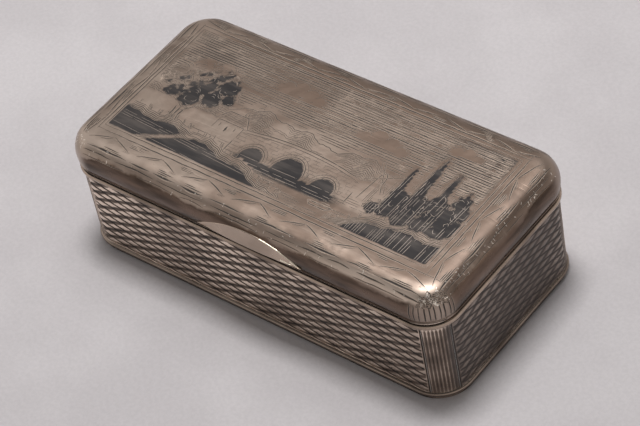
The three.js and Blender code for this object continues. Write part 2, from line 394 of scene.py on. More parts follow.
class NodeWriter:
    """Adds nodes to a tree and wires them in plain calls."""

    def __init__(self, tree: bpy.types.NodeTree) -> None:
        """Starts on a tree."""
        self.tree = tree

    @staticmethod
    def pick(sockets: Any, key: int | str) -> bpy.types.NodeSocket:
        """Finds a socket by its place or by the name that it shows."""
        if isinstance(key, int):
            return sockets[key]
        return next(socket for socket in sockets if socket.enabled and socket.name == key)

    def feed(self, socket: bpy.types.NodeSocket, value: Any) -> None:
        """Links a socket to a value's own, or sets it."""
        if isinstance(value, Value):
            self.tree.links.new(value.socket, socket)
        elif isinstance(value, tuple) and len(value) == 3 and socket.type == "RGBA":
            socket.default_value = (*value, 1.0)
        else:
            socket.default_value = value

    def node(self, kind: str, inputs: dict[int | str, Any] | None = None, out: int | str = 0, **settings: Any) -> Any:
        """Adds a node.

        Args:
            kind: The node's type.
            inputs: Its inputs, by name or place.
            out: Which output is wanted.
            **settings: The node's own settings.

        Returns:
            What the wanted output gives, or None from a node without outputs.
        """
        made = self.tree.nodes.new(kind)
        for name, value in settings.items():
            setattr(made, name, value)
        for key, value in (inputs or {}).items():
            self.feed(self.pick(made.inputs, key), value)
        return Value(self, self.pick(made.outputs, out)) if made.outputs else None

    def math(self, operation: str, *values: Any) -> Value:
        """Adds a math node on up to three values."""
        return self.node("ShaderNodeMath", dict(enumerate(values)), operation=operation)

    def vector(self, operation: str, *values: Any) -> Value:
        """Adds a vector math node."""
        return self.node("ShaderNodeVectorMath", dict(enumerate(values)), operation=operation)

    def scaled(self, vector: Value, factor: Any) -> Value:
        """Lengthens a vector."""
        return self.node("ShaderNodeVectorMath", {0: vector, "Scale": factor}, operation="SCALE")

    def join(self, x: Any = 0.0, y: Any = 0.0, z: Any = 0.0) -> Value:
        """Makes a vector from its parts."""
        return self.node("ShaderNodeCombineXYZ", {0: x, 1: y, 2: z})

    def split(self, vector: Value) -> list[Value]:
        """Gives a vector's three parts."""
        first = self.node("ShaderNodeSeparateXYZ", {0: vector})
        return [first.other(i) for i in range(3)]

    def ramp(self, value: Any, low: Any, high: Any, start: Any = 0.0, end: Any = 1.0) -> Value:
        """Maps a value smoothly from low..high to start..end."""
        inputs = {"Value": value, "From Min": low, "From Max": high, "To Min": start, "To Max": end}
        return self.node("ShaderNodeMapRange", inputs, interpolation_type="SMOOTHSTEP")

    def ramp_mm(self, place: Value, low: float, high: float, start: float = 0.0, end: float = 1.0) -> Value:
        """Maps a place smoothly, between two limits in millimetres."""
        return self.ramp(place, low * MM, high * MM, start, end)

    def layers(self, colour: Any, *coats: tuple[Value, Any]) -> Any:
        """Lays coats over a colour, each with how strongly it covers and its own colour."""
        for cover, coat in coats:
            inputs = {"Factor": cover, "A": colour, "B": coat}
            colour = self.node("ShaderNodeMix", inputs, "Result", data_type="RGBA")
        return colour

    def noise(self, place: Any, scale: float, detail: float = 3.0, rough: float = 0.55) -> Value:
        """Adds a noise texture and gives its value."""
        inputs = {"Vector": place, "Scale": scale, "Detail": detail, "Roughness": rough}
        return self.node("ShaderNodeTexNoise", inputs, "Fac")

    def place(self) -> Value:
        """Gives the place on the object."""
        return self.node("ShaderNodeTexCoord", out="Object")

    def stretched(self, place: Value, scale: tuple[float, float, float], turn: float = 0.0) -> Value:
        """Gives the place turned about Z and stretched, for streaks."""
        inputs = {"Vector": place, "Rotation": (0.0, 0.0, turn), "Scale": scale}
        return self.node("ShaderNodeMapping", inputs)

    def attribute(self, name: str) -> Value:
        """Gives a value that the mesh keeps at its points."""
        return self.node("ShaderNodeAttribute", out="Fac", attribute_name=name)

    def surface(self, inputs: dict[str, Any], bump: dict[str, Any]) -> None:
        """Ends a material with its shader and its bump."""
        shader = self.node("ShaderNodeBsdfPrincipled", {**inputs, "Normal": self.node("ShaderNodeBump", bump)})
        self.node("ShaderNodeOutputMaterial", {"Surface": shader})


class Group(NodeWriter):
    """A node group with named inputs and outputs."""

    KINDS = {int: "Int", float: "Float", tuple: "Color", Piece: "Object", Material: "Material"}

    def __init__(self, kind: str, name: str, inputs: dict[str, Any], outputs: Sequence[str]) -> None:
        """Starts the group.

        Args:
            kind: The group's type.
            name: Its name.
            inputs: Its inputs by name, each with its usual value or its type.
            outputs: Its outputs, each named after its kind or a plain number.
        """
        super().__init__(bpy.data.node_groups.new(name, kind))
        add = self.tree.interface.new_socket
        for label in outputs:
            kind_out = label if label in ("Geometry", "Color") else "Float"
            add(name=label, in_out="OUTPUT", socket_type=f"NodeSocket{kind_out}")
        if outputs[0] == "Geometry":
            add(name="Geometry", in_out="INPUT", socket_type="NodeSocketGeometry")
        for label, usual in inputs.items():
            bare = isinstance(usual, type)
            kind_in = self.KINDS[usual if bare else type(usual)]
            socket = add(name=label, in_out="INPUT", socket_type=f"NodeSocket{kind_in}")
            if not bare:
                socket.default_value = (*usual, 1.0) if isinstance(usual, tuple) else usual
        self.entry = self.tree.nodes.new("NodeGroupInput")

    def get(self, label: str) -> Value:
        """Gives one of the group's inputs."""
        return Value(self, self.pick(self.entry.outputs, label))


class ShapeTree(Group):
    """A Geometry Nodes tree with named inputs, in millimetres."""

    def __init__(self, name: str, inputs: dict[str, Any]) -> None:
        """Starts a tree with its inputs by name, each with its usual value or its type."""
        super().__init__("GeometryNodeTree", name, {**inputs, "Material": Material}, ["Geometry"])

    def moved(self, geometry: Value, **inputs: Any) -> Value:
        """Scales, turns or shifts a geometry."""
        return self.node("GeometryNodeTransform", {"Geometry": geometry, **inputs})

    def in_mm(self, geometry: Value) -> Value:
        """Turns a mesh's metres into the tree's millimetres."""
        return self.moved(geometry, Scale=(1 / MM,) * 3)

    def finish(self, geometry: Value) -> None:
        """Ends the tree: to metres, realized, with its material."""
        real = self.node("GeometryNodeRealizeInstances", {"Geometry": self.moved(geometry, Scale=(MM,) * 3)})
        dressed = self.node("GeometryNodeSetMaterial", {"Geometry": real, "Material": self.get("Material")})
        self.node("NodeGroupOutput", {"Geometry": dressed})

    def object(self, label: str) -> Value:
        """Gives the geometry of an object that goes in."""
        return self.node("GeometryNodeObjectInfo", {"Object": self.get(label)}, "Geometry")

    def sheet(self, width: Any, height: Any) -> tuple[Value, Value, Value]:
        """Starts a flat sheet of Columns by Rows points.

        Args:
            width: Its width.
            height: Its height.

        Returns:
            The sheet, and its points' places across and up from its middle.
        """
        sizes = {"Size X": width, "Size Y": height, "Vertices X": self.get("Columns"), "Vertices Y": self.get("Rows")}
        across, up, _ = self.split(self.node("GeometryNodeInputPosition"))
        return self.node("GeometryNodeMeshGrid", sizes, "Mesh"), across, up

    def inside_pattern(self, up: Value, edge: float) -> Value:
        """Gives 1 inside the pattern's height, falling to 0 over soft edges."""
        low, high = self.get("Pattern low"), self.get("Pattern high")
        return self.ramp(up, low, low + edge) * self.ramp(up, high, high - edge)

    def bend(self, sheet: Value, cut: Value, place: Value) -> None:
        """Ends a tree: keeps how deep a sheet is cut, moves its points and turns it into place.

        Args:
            sheet: The sheet.
            cut: How deep it is cut, from 0 to 1.
            place: The place of each point.
        """
        stored = self.node("GeometryNodeStoreNamedAttribute", {"Geometry": sheet, "Name": "cut", "Value": cut})
        shaped = self.node("GeometryNodeSetPosition", {"Geometry": stored, "Position": place})
        turn, shift = self.join(z=self.get("Turn")), self.join(y=self.get("Middle"))
        self.finish(self.moved(shaped, Rotation=turn, Translation=shift))

    def make(self, name: str, material: Material, values: dict[str, Any], start: Piece | None = None) -> Piece:
        """Runs the tree and keeps its result as a plain mesh.

        Args:
            name: The piece's name.
            material: Its material.
            values: The inputs by name.
            start: The object whose mesh goes in, or none.

        Returns:
            The piece.
        """
        piece = start or plain_mesh(name, np.zeros((0, 3)))
        piece.name = name
        maker = piece.modifiers.new("Shape", "NODES")
        maker.node_group = self.tree
        values = {**values, "Material": material}
        for item in self.tree.interface.items_tree:
            if item.in_out == "INPUT" and item.name in values:
                maker[item.identifier] = values[item.name]
        return flatten(piece)


class EffectGroup(Group):
    """A shader node group that several finishes share."""

    def __init__(self, name: str, inputs: dict[str, Any], outputs: Sequence[str]) -> None:
        """Starts the group with its inputs by name and the names of its outputs."""
        super().__init__("ShaderNodeTree", name, inputs, outputs)
        self.exit = self.tree.nodes.new("NodeGroupOutput")

    def put(self, label: str, value: Any) -> None:
        """Sends a value to one of the group's outputs."""
        self.feed(self.pick(self.exit.inputs, label), value)


# Finishes


def start_material(name: str) -> tuple[Material, NodeWriter]:
    """Makes an empty material.

    Args:
        name: Its name.

    Returns:
        The material and the writer of its nodes.
    """
    material = bpy.data.materials.new(name)
    material.use_nodes = True
    material.node_tree.nodes.clear()
    return material, NodeWriter(material.node_tree)


def worn_metal_group() -> bpy.types.NodeTree:
    """Builds the shared effect of worn, lightly tarnished metal.

    Returns:
        The node group.
    """
    usual = {"Clean": (0.5, 0.45, 0.4), "Dull": (0.2, 0.17, 0.15), "Dullness": 0.4, "Smooth": 0.25, "Rough": 0.45}
    group = EffectGroup("Worn metal", usual, ("Color", "Roughness", "Height"))
    place = group.place()
    patches, specks = group.noise(place, 75.0, 4.0), group.noise(place, 1500.0, 2.0, 0.6)
    cloud = group.ramp(specks * 0.03 + patches, 0.40, 0.72)
    group.put("Color", group.layers(group.get("Clean"), (cloud * group.get("Dullness"), group.get("Dull"))))
    blend = group.ramp(specks * 0.15 + patches * 0.85, 0.3, 0.7)
    group.put("Roughness", blend * (group.get("Rough") - group.get("Smooth")) + group.get("Smooth"))
    group.put("Height", specks * 0.03 + group.noise(place, 160.0, 2.0, 0.5))
    return group.tree


def scratches_group() -> bpy.types.NodeTree:
    """Builds the shared effect of fine hairline scratches in two directions.

    Returns:
        The node group.
    """
    group = EffectGroup("Hairline scratches", {"Amount": 1.0}, ("Height",))
    place = group.place()
    masks = []
    for turn, stretch in ((0.35, (90.0, 2600.0, 700.0)), (-0.9, (70.0, 2100.0, 600.0))):
        streaks = group.noise(group.stretched(place, stretch, turn), 1.0, 1.0, 0.5)
        masks.append(group.ramp(streaks, 0.66, 0.74))
    patchy = group.ramp(group.noise(place, 120.0, 2.0), 0.42, 0.6)
    group.put("Height", group.math("MAXIMUM", *masks) * patchy * group.get("Amount") * -1.0)
    return group.tree


@dataclass(frozen=True)
class Metal:
    """A plain worn metal finish."""

    name: str = "worn_silver"
    clean: Colour = (0.60, 0.485, 0.40)
    dull: Colour = (0.24, 0.19, 0.155)
    dullness: float = 0.5
    smooth: float = 0.17
    rough: float = 0.34
    relief: float = 0.35
    dents: float = 0.05
    scratches: float = 0.5
    scratch_depth: float = 0.12
    polish: float = 0.0
    polish_roughness: float = 0.16

    def dress(self, writer: NodeWriter, made: dict[str, Any]) -> None:
        """Adds what a finish has beyond plain worn metal."""

    def build(self, effects: dict[str, bpy.types.NodeTree]) -> Material:
        """Builds the finish as a material.

        Args:
            effects: The shared node groups.

        Returns:
            The material.
        """
        material, writer = start_material(self.name)
        look = {
            "Clean": self.clean, "Dull": self.dull, "Dullness": self.dullness, "Smooth": self.smooth,
            "Rough": self.rough,
        }
        worn = writer.node("ShaderNodeGroup", look, node_tree=effects["worn"])
        lines = writer.node("ShaderNodeGroup", {"Amount": self.scratches}, node_tree=effects["scratches"])
        made = {
            "Base Color": worn, "Roughness": worn.other("Roughness"), "Metallic": 1.0, "Coat Weight": self.polish,
            "Coat Roughness": self.polish_roughness,
        }
        self.dress(writer, made)
        height = lines * self.scratch_depth + worn.other("Height")
        writer.surface(made, {"Strength": self.relief, "Distance": self.dents * MM, "Height": height})
        return material


@dataclass(frozen=True)
class TurnedSilver(Metal):
    """Engine-turned silver, dark in the cuts and bright on the lands."""

    name: str = "turned_silver"
    clean: Colour = (0.87, 0.725, 0.61)
    dullness: float = 0.3
    ground: Colour = (0.135, 0.097, 0.076)
    deep: Colour = (0.02, 0.015, 0.013)
    soot: float = 0.4
    # The last two paint shade on the right end's face, darkening it toward slate.
    painted_shade_slate: Colour = (0.085, 0.072, 0.068)
    right_painted_shade: float = 0.72

    def dress(self, writer: NodeWriter, made: dict[str, Any]) -> None:
        """Adds the dark cuts, smoky clouds on the lands and painted shade on the right end."""
        place = writer.place()
        depth = writer.noise(place, 260.0) * 0.5 + (writer.attribute("cut") - 0.25)
        mask = writer.ramp(depth, 0.15, 0.36, 0.0, 0.94)
        smoky = writer.ramp(writer.noise(place, 42.0), 0.46, 0.66, 0.0, self.soot)
        # Painted shade: the right end's face is darkened toward slate.
        right = writer.ramp_mm(writer.split(place)[0], 40.6, 41.4, 0.0, self.right_painted_shade)
        made["Base Color"] = writer.layers(
            made["Base Color"],
            (smoky, self.ground),
            (mask, self.ground),
            (writer.ramp(depth, 0.5, 0.76), self.deep),
            (right, self.painted_shade_slate),
        )
        made["Metallic"] = writer.ramp(mask, 0.0, 1.0, 1.0, 0.55)
        made["Roughness"] = writer.math("MAXIMUM", made["Roughness"], mask * 0.55)


@dataclass(frozen=True)
class NielloSilver(Metal):
    """Silver whose sunk grounds are filled with dark blue-grey niello."""

    name: str = "niello_silver"
    niello: Colour = (0.019, 0.019, 0.022)
    smoky: Colour = (0.075, 0.066, 0.062)
    brown: Colour = (0.178, 0.124, 0.095)
    # The haze's amount, its rise toward the right and its extra at the right end's top are partly painted shade; the
    # dark colour of the sides below is partly a painted dark reflection.
    haze_and_shade: float = 0.8
    right_shade_slope: float = 3.4
    patina_and_dark_reflection: Colour = (0.060, 0.043, 0.033)
    dark_band_top: float = 24.0
    dark_band_edge: float = 4.0
    right_end_shade: float = 0.2
    haze_sky: float = 0.2
    # The next two set the colour and amount of a painted highlight on the front shoulder and the corners.
    highlight_tint: Colour = (0.80, 0.675, 0.58)
    corner_highlight: float = 0.16

    def dress(self, writer: NodeWriter, made: dict[str, Any]) -> None:
        """Adds the haze with painted shade toward the right end, the painted highlight on the front shoulder and
        corners, the dark patina of the sides, partly a painted dark reflection, and the niello.
        """
        place, ramp_mm = writer.place(), writer.ramp_mm
        x, y, z = writer.split(place)
        streaked = writer.stretched(place, (30.0, 170.0, 60.0))
        # Random brown haze plus painted shade that grows toward the right end and dims the highlight on its top; the
        # last term darkens toward the back.
        haze_and_shade_level = x * self.right_shade_slope + writer.noise(streaked, 1.0, 4.0, 0.6)
        end = ramp_mm(x, 33.0, 40.0, 0.0, self.right_end_shade) * ramp_mm(z, 25.3, 25.7) * ramp_mm(y, -15.5, -10.0)
        haze_and_shade_level = haze_and_shade_level + end + ramp_mm(y, -8.0, 10.0, 0.0, self.haze_sky)
        haze_and_shade = writer.ramp(haze_and_shade_level, 0.42, 0.7, 0.0, self.haze_and_shade)
        # Painted highlight: a light streak along the front shoulder's right part, and lighter corners.
        front_highlight = ramp_mm(x, -4.0, 30.0) * ramp_mm(y, -18.6, -19.6) * ramp_mm(z, 23.9, 24.5, 0.0, 0.7)
        corner = ramp_mm(abs(x), 35.5, 38.5) * ramp_mm(abs(y), 13.5, 17.0)
        # The sides' dark colour is partly patina and partly a painted dark reflection with blotches; the corners are
        # left out of it as they catch the highlight.
        ragged = (writer.noise(place, 110.0, 4.0, 0.6) - 0.5) * (self.dark_band_edge * MM) + z
        side = ramp_mm(ragged, self.dark_band_top - 0.25, self.dark_band_top + 0.35, 0.94, 0.0) * (1.0 - corner)
        drawn_out = writer.stretched(place, (45.0, 38.0, 230.0))
        blotches = writer.ramp(writer.noise(drawn_out, 1.3, 4.0), 0.38, 0.62)
        worn = writer.noise(place, 900.0, 4.0, 0.7) * 0.5 + writer.noise(place, 170.0) * 0.5
        mask = writer.ramp(writer.attribute("niello") + worn, 0.74, 1.24, 0.0, 0.96)
        faded = writer.ramp(writer.noise(streaked, 2.5, 3.0, 0.6), 0.42, 0.72)
        made["Base Color"] = writer.layers(
            made["Base Color"],
            (haze_and_shade, self.brown),
            (front_highlight, self.highlight_tint),
            (corner * self.corner_highlight, self.highlight_tint),
            (side, writer.layers(self.patina_and_dark_reflection, (blotches, self.brown))),
            (mask, writer.layers(self.niello, (faded, self.smoky))),
        )
        made["Metallic"] = writer.ramp(mask, 0.0, 0.9, 1.0, 0.6)
        made["Roughness"] = writer.math("MAXIMUM", made["Roughness"] - side * 0.2, mask * 0.6)
        made["Coat Weight"] = writer.ramp(writer.math("MAXIMUM", mask, side), 0.0, 0.8, self.polish, 0.0)


@dataclass(frozen=True)
class GraverLine(Metal):
    """A cut line: niello left in it, worn through in places."""

    name: str = "graver_line"
    ink: Colour = (0.020, 0.015, 0.0125)
    wear: float = 0.42
    line_roughness: float = 0.55

    def dress(self, writer: NodeWriter, made: dict[str, Any]) -> None:
        """Adds the niello in the line."""
        broken = writer.noise(writer.place(), 420.0, 4.0, 0.65)
        mask = writer.ramp(broken, self.wear - 0.2, self.wear + 0.06, 0.55, 1.0) * writer.attribute("ink")
        made["Base Color"] = writer.layers(made["Base Color"], (mask, self.ink))
        made["Metallic"] = writer.ramp(mask, 0.3, 1.0, 1.0, 0.2)
        made["Roughness"] = self.line_roughness


@dataclass(frozen=True)
class Paper:
    """The pale paper that the box stands on."""

    name: str = "pale_paper"
    colour: Colour = (0.605, 0.582, 0.597)
    shade: Colour = (0.552, 0.529, 0.544)

    def build(self) -> Material:
        """Builds the finish as a material.

        Returns:
            The material.
        """
        material, writer = start_material(self.name)
        place = writer.place()
        clouds = writer.ramp(writer.noise(place, 28.0, 4.0, 0.6), 0.35, 0.65)
        grain = writer.ramp(writer.noise(place, 1300.0, 3.0, 0.7), 0.3, 0.7, 0.955, 1.035)
        clouded = writer.layers(self.shade, (clouds, self.colour))
        colour = writer.vector("MULTIPLY", clouded, writer.join(grain, grain, grain))
        bump = {"Strength": 0.15, "Distance": 0.4 * MM, "Height": writer.noise(place, 60.0)}
        writer.surface({"Base Color": colour, "Roughness": 0.9, "Specular IOR Level": 0.2}, bump)
        return material


class Finishes:
    """All the materials of the box, built once."""

    def __init__(self) -> None:
        """Builds the shared effects and the materials."""
        effects = {"worn": worn_metal_group(), "scratches": scratches_group()}
        self.silver = Metal().build(effects)
        self.turned = TurnedSilver().build(effects)
        self.lid = NielloSilver(
            clean=(0.435, 0.35, 0.292), dull=(0.15, 0.105, 0.08), dullness=0.65, smooth=0.36, rough=0.54,
            relief=0.8, dents=0.28, polish=0.32,
        ).build(effects)
        self.line = GraverLine().build(effects)
        self.bright_line = Metal(
            "bright_line", (0.40, 0.345, 0.305), dullness=0.6, smooth=0.4, rough=0.5
        ).build(effects)
        # A near-white finish painted as the glints of small dents and curls.
        self.dent_glint = Metal("bright_nick", (0.95, 0.88, 0.80), dullness=0.1, smooth=0.3, rough=0.5).build(effects)
        self.foot = Metal("foot_silver", (0.295, 0.238, 0.198), (0.12, 0.092, 0.077), 0.8).build(effects)
        self.rim = Metal("rim_silver", (0.47, 0.375, 0.305), (0.15, 0.115, 0.09), 0.7).build(effects)
        # A near-white finish painted as a highlight on the thumbpiece's edge.
        self.edge = Metal("worn_edge", (0.98, 0.90, 0.74), dullness=0.0, smooth=0.36, rough=0.5).build(effects)
        self.gilt = Metal(
            "worn_gilding", (0.78, 0.55, 0.25), (0.42, 0.30, 0.17), smooth=0.22, rough=0.38
        ).build(effects)
        # Near-black finish painted as shade in the seam and under the beads.
        self.grime = Metal(
            "grime", (0.05, 0.04, 0.034), (0.02, 0.016, 0.014), smooth=0.45, rough=0.7, scratches=0.0
        ).build(effects)
        self.wire = Metal("hinge_wire", (0.42, 0.40, 0.38), dullness=0.6, rough=0.5).build(effects)


# The box


class Face(Enum):
    """The four flat faces of the box's wall, with their turn from the front in degrees."""

    FRONT = 0
    RIGHT = 90
    BACK = 180
    LEFT = 270


def finish_wall(piece: Piece, finishes: Finishes, at_hinge: bool, degrees: float) -> Piece:
    """Clears the hinge's room from a piece of the wall and dresses its inside like its outside.

    Args:
        piece: The piece.
        finishes: The materials.
        at_hinge: Whether the piece reaches the hinge.
        degrees: The angle above which its edges are sharp.

    Returns:
        The piece.
    """
    if at_hinge:
        H.clear_hinge(piece, Leaf.BOX)
    inside = H.wall_inside + 0.08
    paint_faces(
        piece, finishes.turned, lambda at, normal: abs(normal.z) < 0.5 and OUTLINE.offset_at(at.x, at.y) < inside
    )
    return smooth(piece, degrees)


@dataclass
class EngineTurning:
    """The wavy rows of cuts on the flat faces, each half a wave on from the row below."""

    row_pitch: float = 0.88
    wave: float = 5.5
    swing: float = 0.43
    sharpness: float = 1.15
    lean: float = 0.34
    cut_depth: float = 0.17
    cut_width: float = 0.51
    cut_bias: float = 0.3
    step_across: float = 0.2
    step_up: float = 0.1
    end_line_in: float = 0.2
    end_line_middle: float = 9.75
    end_line_half: float = 8.3

    def __post_init__(self) -> None:
        """Builds the tree: a sheet with the cuts, bent round the corners at both ends."""
        self.tree = tree = ShapeTree("Engine turning", self.sizes(Face.FRONT))
        get, m = tree.get, tree.math
        flat, radius, low, pitch = get("Flat"), get("Radius"), get("Low"), get("Row pitch")
        height, width = get("High") - low, get("Wrap") * 2.0 + flat
        sheet, across, up = tree.sheet(width, height)
        up = up + (height * 0.5 + low)
        turn = (up * get("Lean") + across) / get("Wave") * (2 * math.pi)
        drift = tree.noise(tree.join(across, up), 0.09, 1.0)
        zigzag = m("ARCSINE", m("SINE", turn)) * (2 / math.pi)
        pointed = m("SIGN", zigzag) * m("POWER", abs(zigzag), get("Sharpness"))
        wave = pointed * get("Swing") + (drift * 0.2 - 0.1)
        lines = []
        for line, slope in ((up - wave, 1.0), (up + wave - pitch, -1.0)):
            near = abs(m("WRAP", line, pitch, pitch * -1.0))
            rise = m("COSINE", turn) * slope
            wide = get("Cut width") * (rise * get("Cut bias") + 1.0)
            lines.append(m("MAXIMUM", (1.0 - near / wide) * (rise * -0.16 + 0.84), 0.0))
        cut = m("MAXIMUM", *lines) + lines[0] * lines[1] * 0.45
        far, flat_half = abs(across), flat * 0.5
        side = width * 0.5 - far
        end_line = m("MAXIMUM", 1.0 - abs(side - self.end_line_in) * 5.0, 0.0)
        band = m("LESS_THAN", abs(up - self.end_line_middle), self.end_line_half)
        cut = m("MAXIMUM", cut * (tree.ramp(side, 0.35, 0.6) * tree.inside_pattern(up, 0.2)), end_line * band)
        bend = m("MAXIMUM", far - flat_half, 0.0) / radius
        sunk = radius - cut * get("Cut depth")
        x = (m("SINE", bend) * sunk + m("MINIMUM", far, flat_half)) * m("SIGN", across)
        out = m("COSINE", bend) * sunk + (get("Reach") - radius)
        tree.bend(sheet, cut, tree.join(x, out * -1.0, up))

    def sizes(self, side: Face) -> dict[str, Any]:
        """Gives the tree's inputs for one face.

        Args:
            side: Which face.

        Returns:
            The sizes by name.
        """
        along, outward = (0, 1) if side in (Face.FRONT, Face.BACK) else (1, 0)
        flat, radius = 2 * OUTLINE.centre[along], OUTLINE.corner_radius + H.wall
        wrap = radius * math.radians(45 - H.reed_span / 2)
        high = H.seam - H.seat if side is Face.BACK else H.seam_bottom
        return {
            "Flat": flat, "Wrap": wrap, "Radius": radius, "Low": H.base, "High": high,
            "Columns": int((flat + 2 * wrap) / self.step_across) + 1, "Rows": int((high - H.base) / self.step_up) + 1,
            "Reach": OUTLINE.centre[outward] + radius, "Turn": math.radians(side.value), "Middle": OUTLINE.middle_y,
            "Row pitch": self.row_pitch, "Wave": self.wave, "Swing": self.swing, "Sharpness": self.sharpness,
            "Lean": self.lean, "Cut depth": self.cut_depth, "Cut width": self.cut_width, "Cut bias": self.cut_bias,
            "Pattern low": H.foot, "Pattern high": min(H.rim, high - 0.05),
        }

    def face(self, side: Face, finishes: Finishes) -> Piece:
        """Makes one face of the wall as a closed slab.

        Args:
            side: Which face.
            finishes: The materials.

        Returns:
            The piece.
        """
        sizes = self.sizes(side)
        flat, wrap, radius, reach = (sizes[name] for name in ("Flat", "Wrap", "Radius", "Reach"))
        columns, rows = sizes["Columns"], sizes["Rows"]
        piece = self.tree.make(f"wall_{side.name.lower()}", finishes.turned, sizes)
        turn = Matrix.Rotation(sizes["Turn"], 3, "Z")
        inner = OUTLINE.corner_radius + H.wall_inside

        def inner_point(column: int, z: float) -> Vector:
            """Gives the place on the wall's inner face behind a column."""
            across = -(flat / 2 + wrap) + (flat + 2 * wrap) * column / (columns - 1)
            bend = max(abs(across) - flat / 2, 0.0) / radius
            x = math.copysign(min(abs(across), flat / 2) + inner * math.sin(bend), across)
            place = turn @ Vector((x, -(reach - radius + inner * math.cos(bend)), z))
            return (place + Vector((0, OUTLINE.middle_y, 0))) * MM

        def thicken(work: Work) -> None:
            """Gives the sheet its thickness and closes it."""
            work.verts.ensure_lookup_table()
            edge = [i * rows for i in range(columns)] + [(columns - 1) * rows + j for j in range(1, rows)]
            edge += [i * rows + rows - 1 for i in range(columns - 2, -1, -1)] + list(range(rows - 2, 0, -1))
            outer = [work.verts[i] for i in edge]
            inside = [work.verts.new(inner_point(i // rows, vert.co.z / MM)) for i, vert in zip(edge, outer)]
            for k, n in enumerate([*range(1, len(edge)), 0]):
                work.faces.new((outer[n], outer[k], inside[k], inside[n]))
            top = columns + rows - 2
            over = inside[top + 1 : top + columns]
            for i in range(1, columns - 2):
                work.faces.new((inside[i], inside[i + 1], over[-2 - i], over[-1 - i]))
            work.faces.new([inside[1], over[-2], *inside[top + columns - 1 :], inside[0]])
            work.faces.new([inside[columns - 2], *inside[columns - 1 : top + 1], over[0]])

        edit(piece, thicken)
        return finish_wall(piece, finishes, side is not Face.FRONT, 60)


@dataclass
class ReededCorners:
    """The four round corners of the wall, with upright reeds."""

    reeds: int = 8
    depth: float = 0.2
    valley: float = 0.5
    shoulder: float = 0.18
    columns: int = 160
    rows: int = 24
    outer_end: float = 0.894
    turns_back: float = 0.9
    inner_length: float = 0.094

    def __post_init__(self) -> None:
        """Builds the tree of one corner, an outer skin of reeds that turns back as a plain inner skin."""
        self.tree = tree = ShapeTree("Reeded corner", self.sizes(0))
        get, m = tree.get, tree.math
        sheet, across, up = tree.sheet(1.0, 1.0)
        run = across + 0.5
        up = get("Low") + (up + 0.5) * (get("High") - get("Low"))
        outer = m("LESS_THAN", run, self.turns_back)
        back = 1.0 - outer
        share = outer * (run / self.outer_end) + back * ((1.0 - run) / self.inner_length)
        share = m("MINIMUM", m("MAXIMUM", share, 0.0), 1.0)
        angle = (share - 0.5) * get("Span") + math.pi / 4
        from_middle = abs(m("FRACT", share * get("Reeds")) * 2.0 - 1.0)
        cut = (from_middle * self.valley + self.shoulder) * outer * tree.inside_pattern(up, 0.3)
        radius = outer * get("Outer radius") + back * get("Inner radius") - cut * get("Depth")
        x, y = (m(part, angle) * radius + get(f"Centre {axis}") for part, axis in (("COSINE", "X"), ("SINE", "Y")))
        tree.bend(sheet, cut, tree.join(x, y, up))

    def sizes(self, turn: int) -> dict[str, Any]:
        """Gives the tree's inputs for one corner.

        Args:
            turn: Quarter turns from the back right corner.

        Returns:
            The sizes by name.
        """
        centre = OUTLINE.centre[::-1] if turn % 2 else OUTLINE.centre
        return {
            "Reeds": self.reeds, "Span": math.radians(H.reed_span), "Depth": self.depth, "Columns": self.columns,
            "Rows": self.rows, "Outer radius": OUTLINE.corner_radius + H.wall,
            "Inner radius": OUTLINE.corner_radius + H.wall_inside, "Low": H.base, "High": H.seam_bottom,
            "Pattern low": H.foot, "Pattern high": H.rim, "Centre X": centre[0], "Centre Y": centre[1],
            "Turn": turn * math.pi / 2, "Middle": OUTLINE.middle_y,
        }

    def corner(self, name: str, turn: int, finishes: Finishes) -> Piece:
        """Makes one corner as a closed piece.

        Args:
            name: The piece's name.
            turn: Quarter turns from the back right corner.
            finishes: The materials.

        Returns:
            The piece.
        """
        piece = self.tree.make(name, finishes.turned, self.sizes(turn))

        def close(work: Work) -> None:
            """Joins the skin's two ends and closes its top and bottom."""
            work.verts.ensure_lookup_table()
            last = (self.columns - 1) * self.rows
            for row in range(self.rows - 1):
                work.faces.new([work.verts[i] for i in (row, last + row, last + row + 1, row + 1)])
            weld(work)
            bmesh.ops.holes_fill(work, edges=[edge for edge in work.edges if edge.is_boundary], sides=0)

        edit(piece, close)
        return finish_wall(piece, finishes, turn < 2, 50)


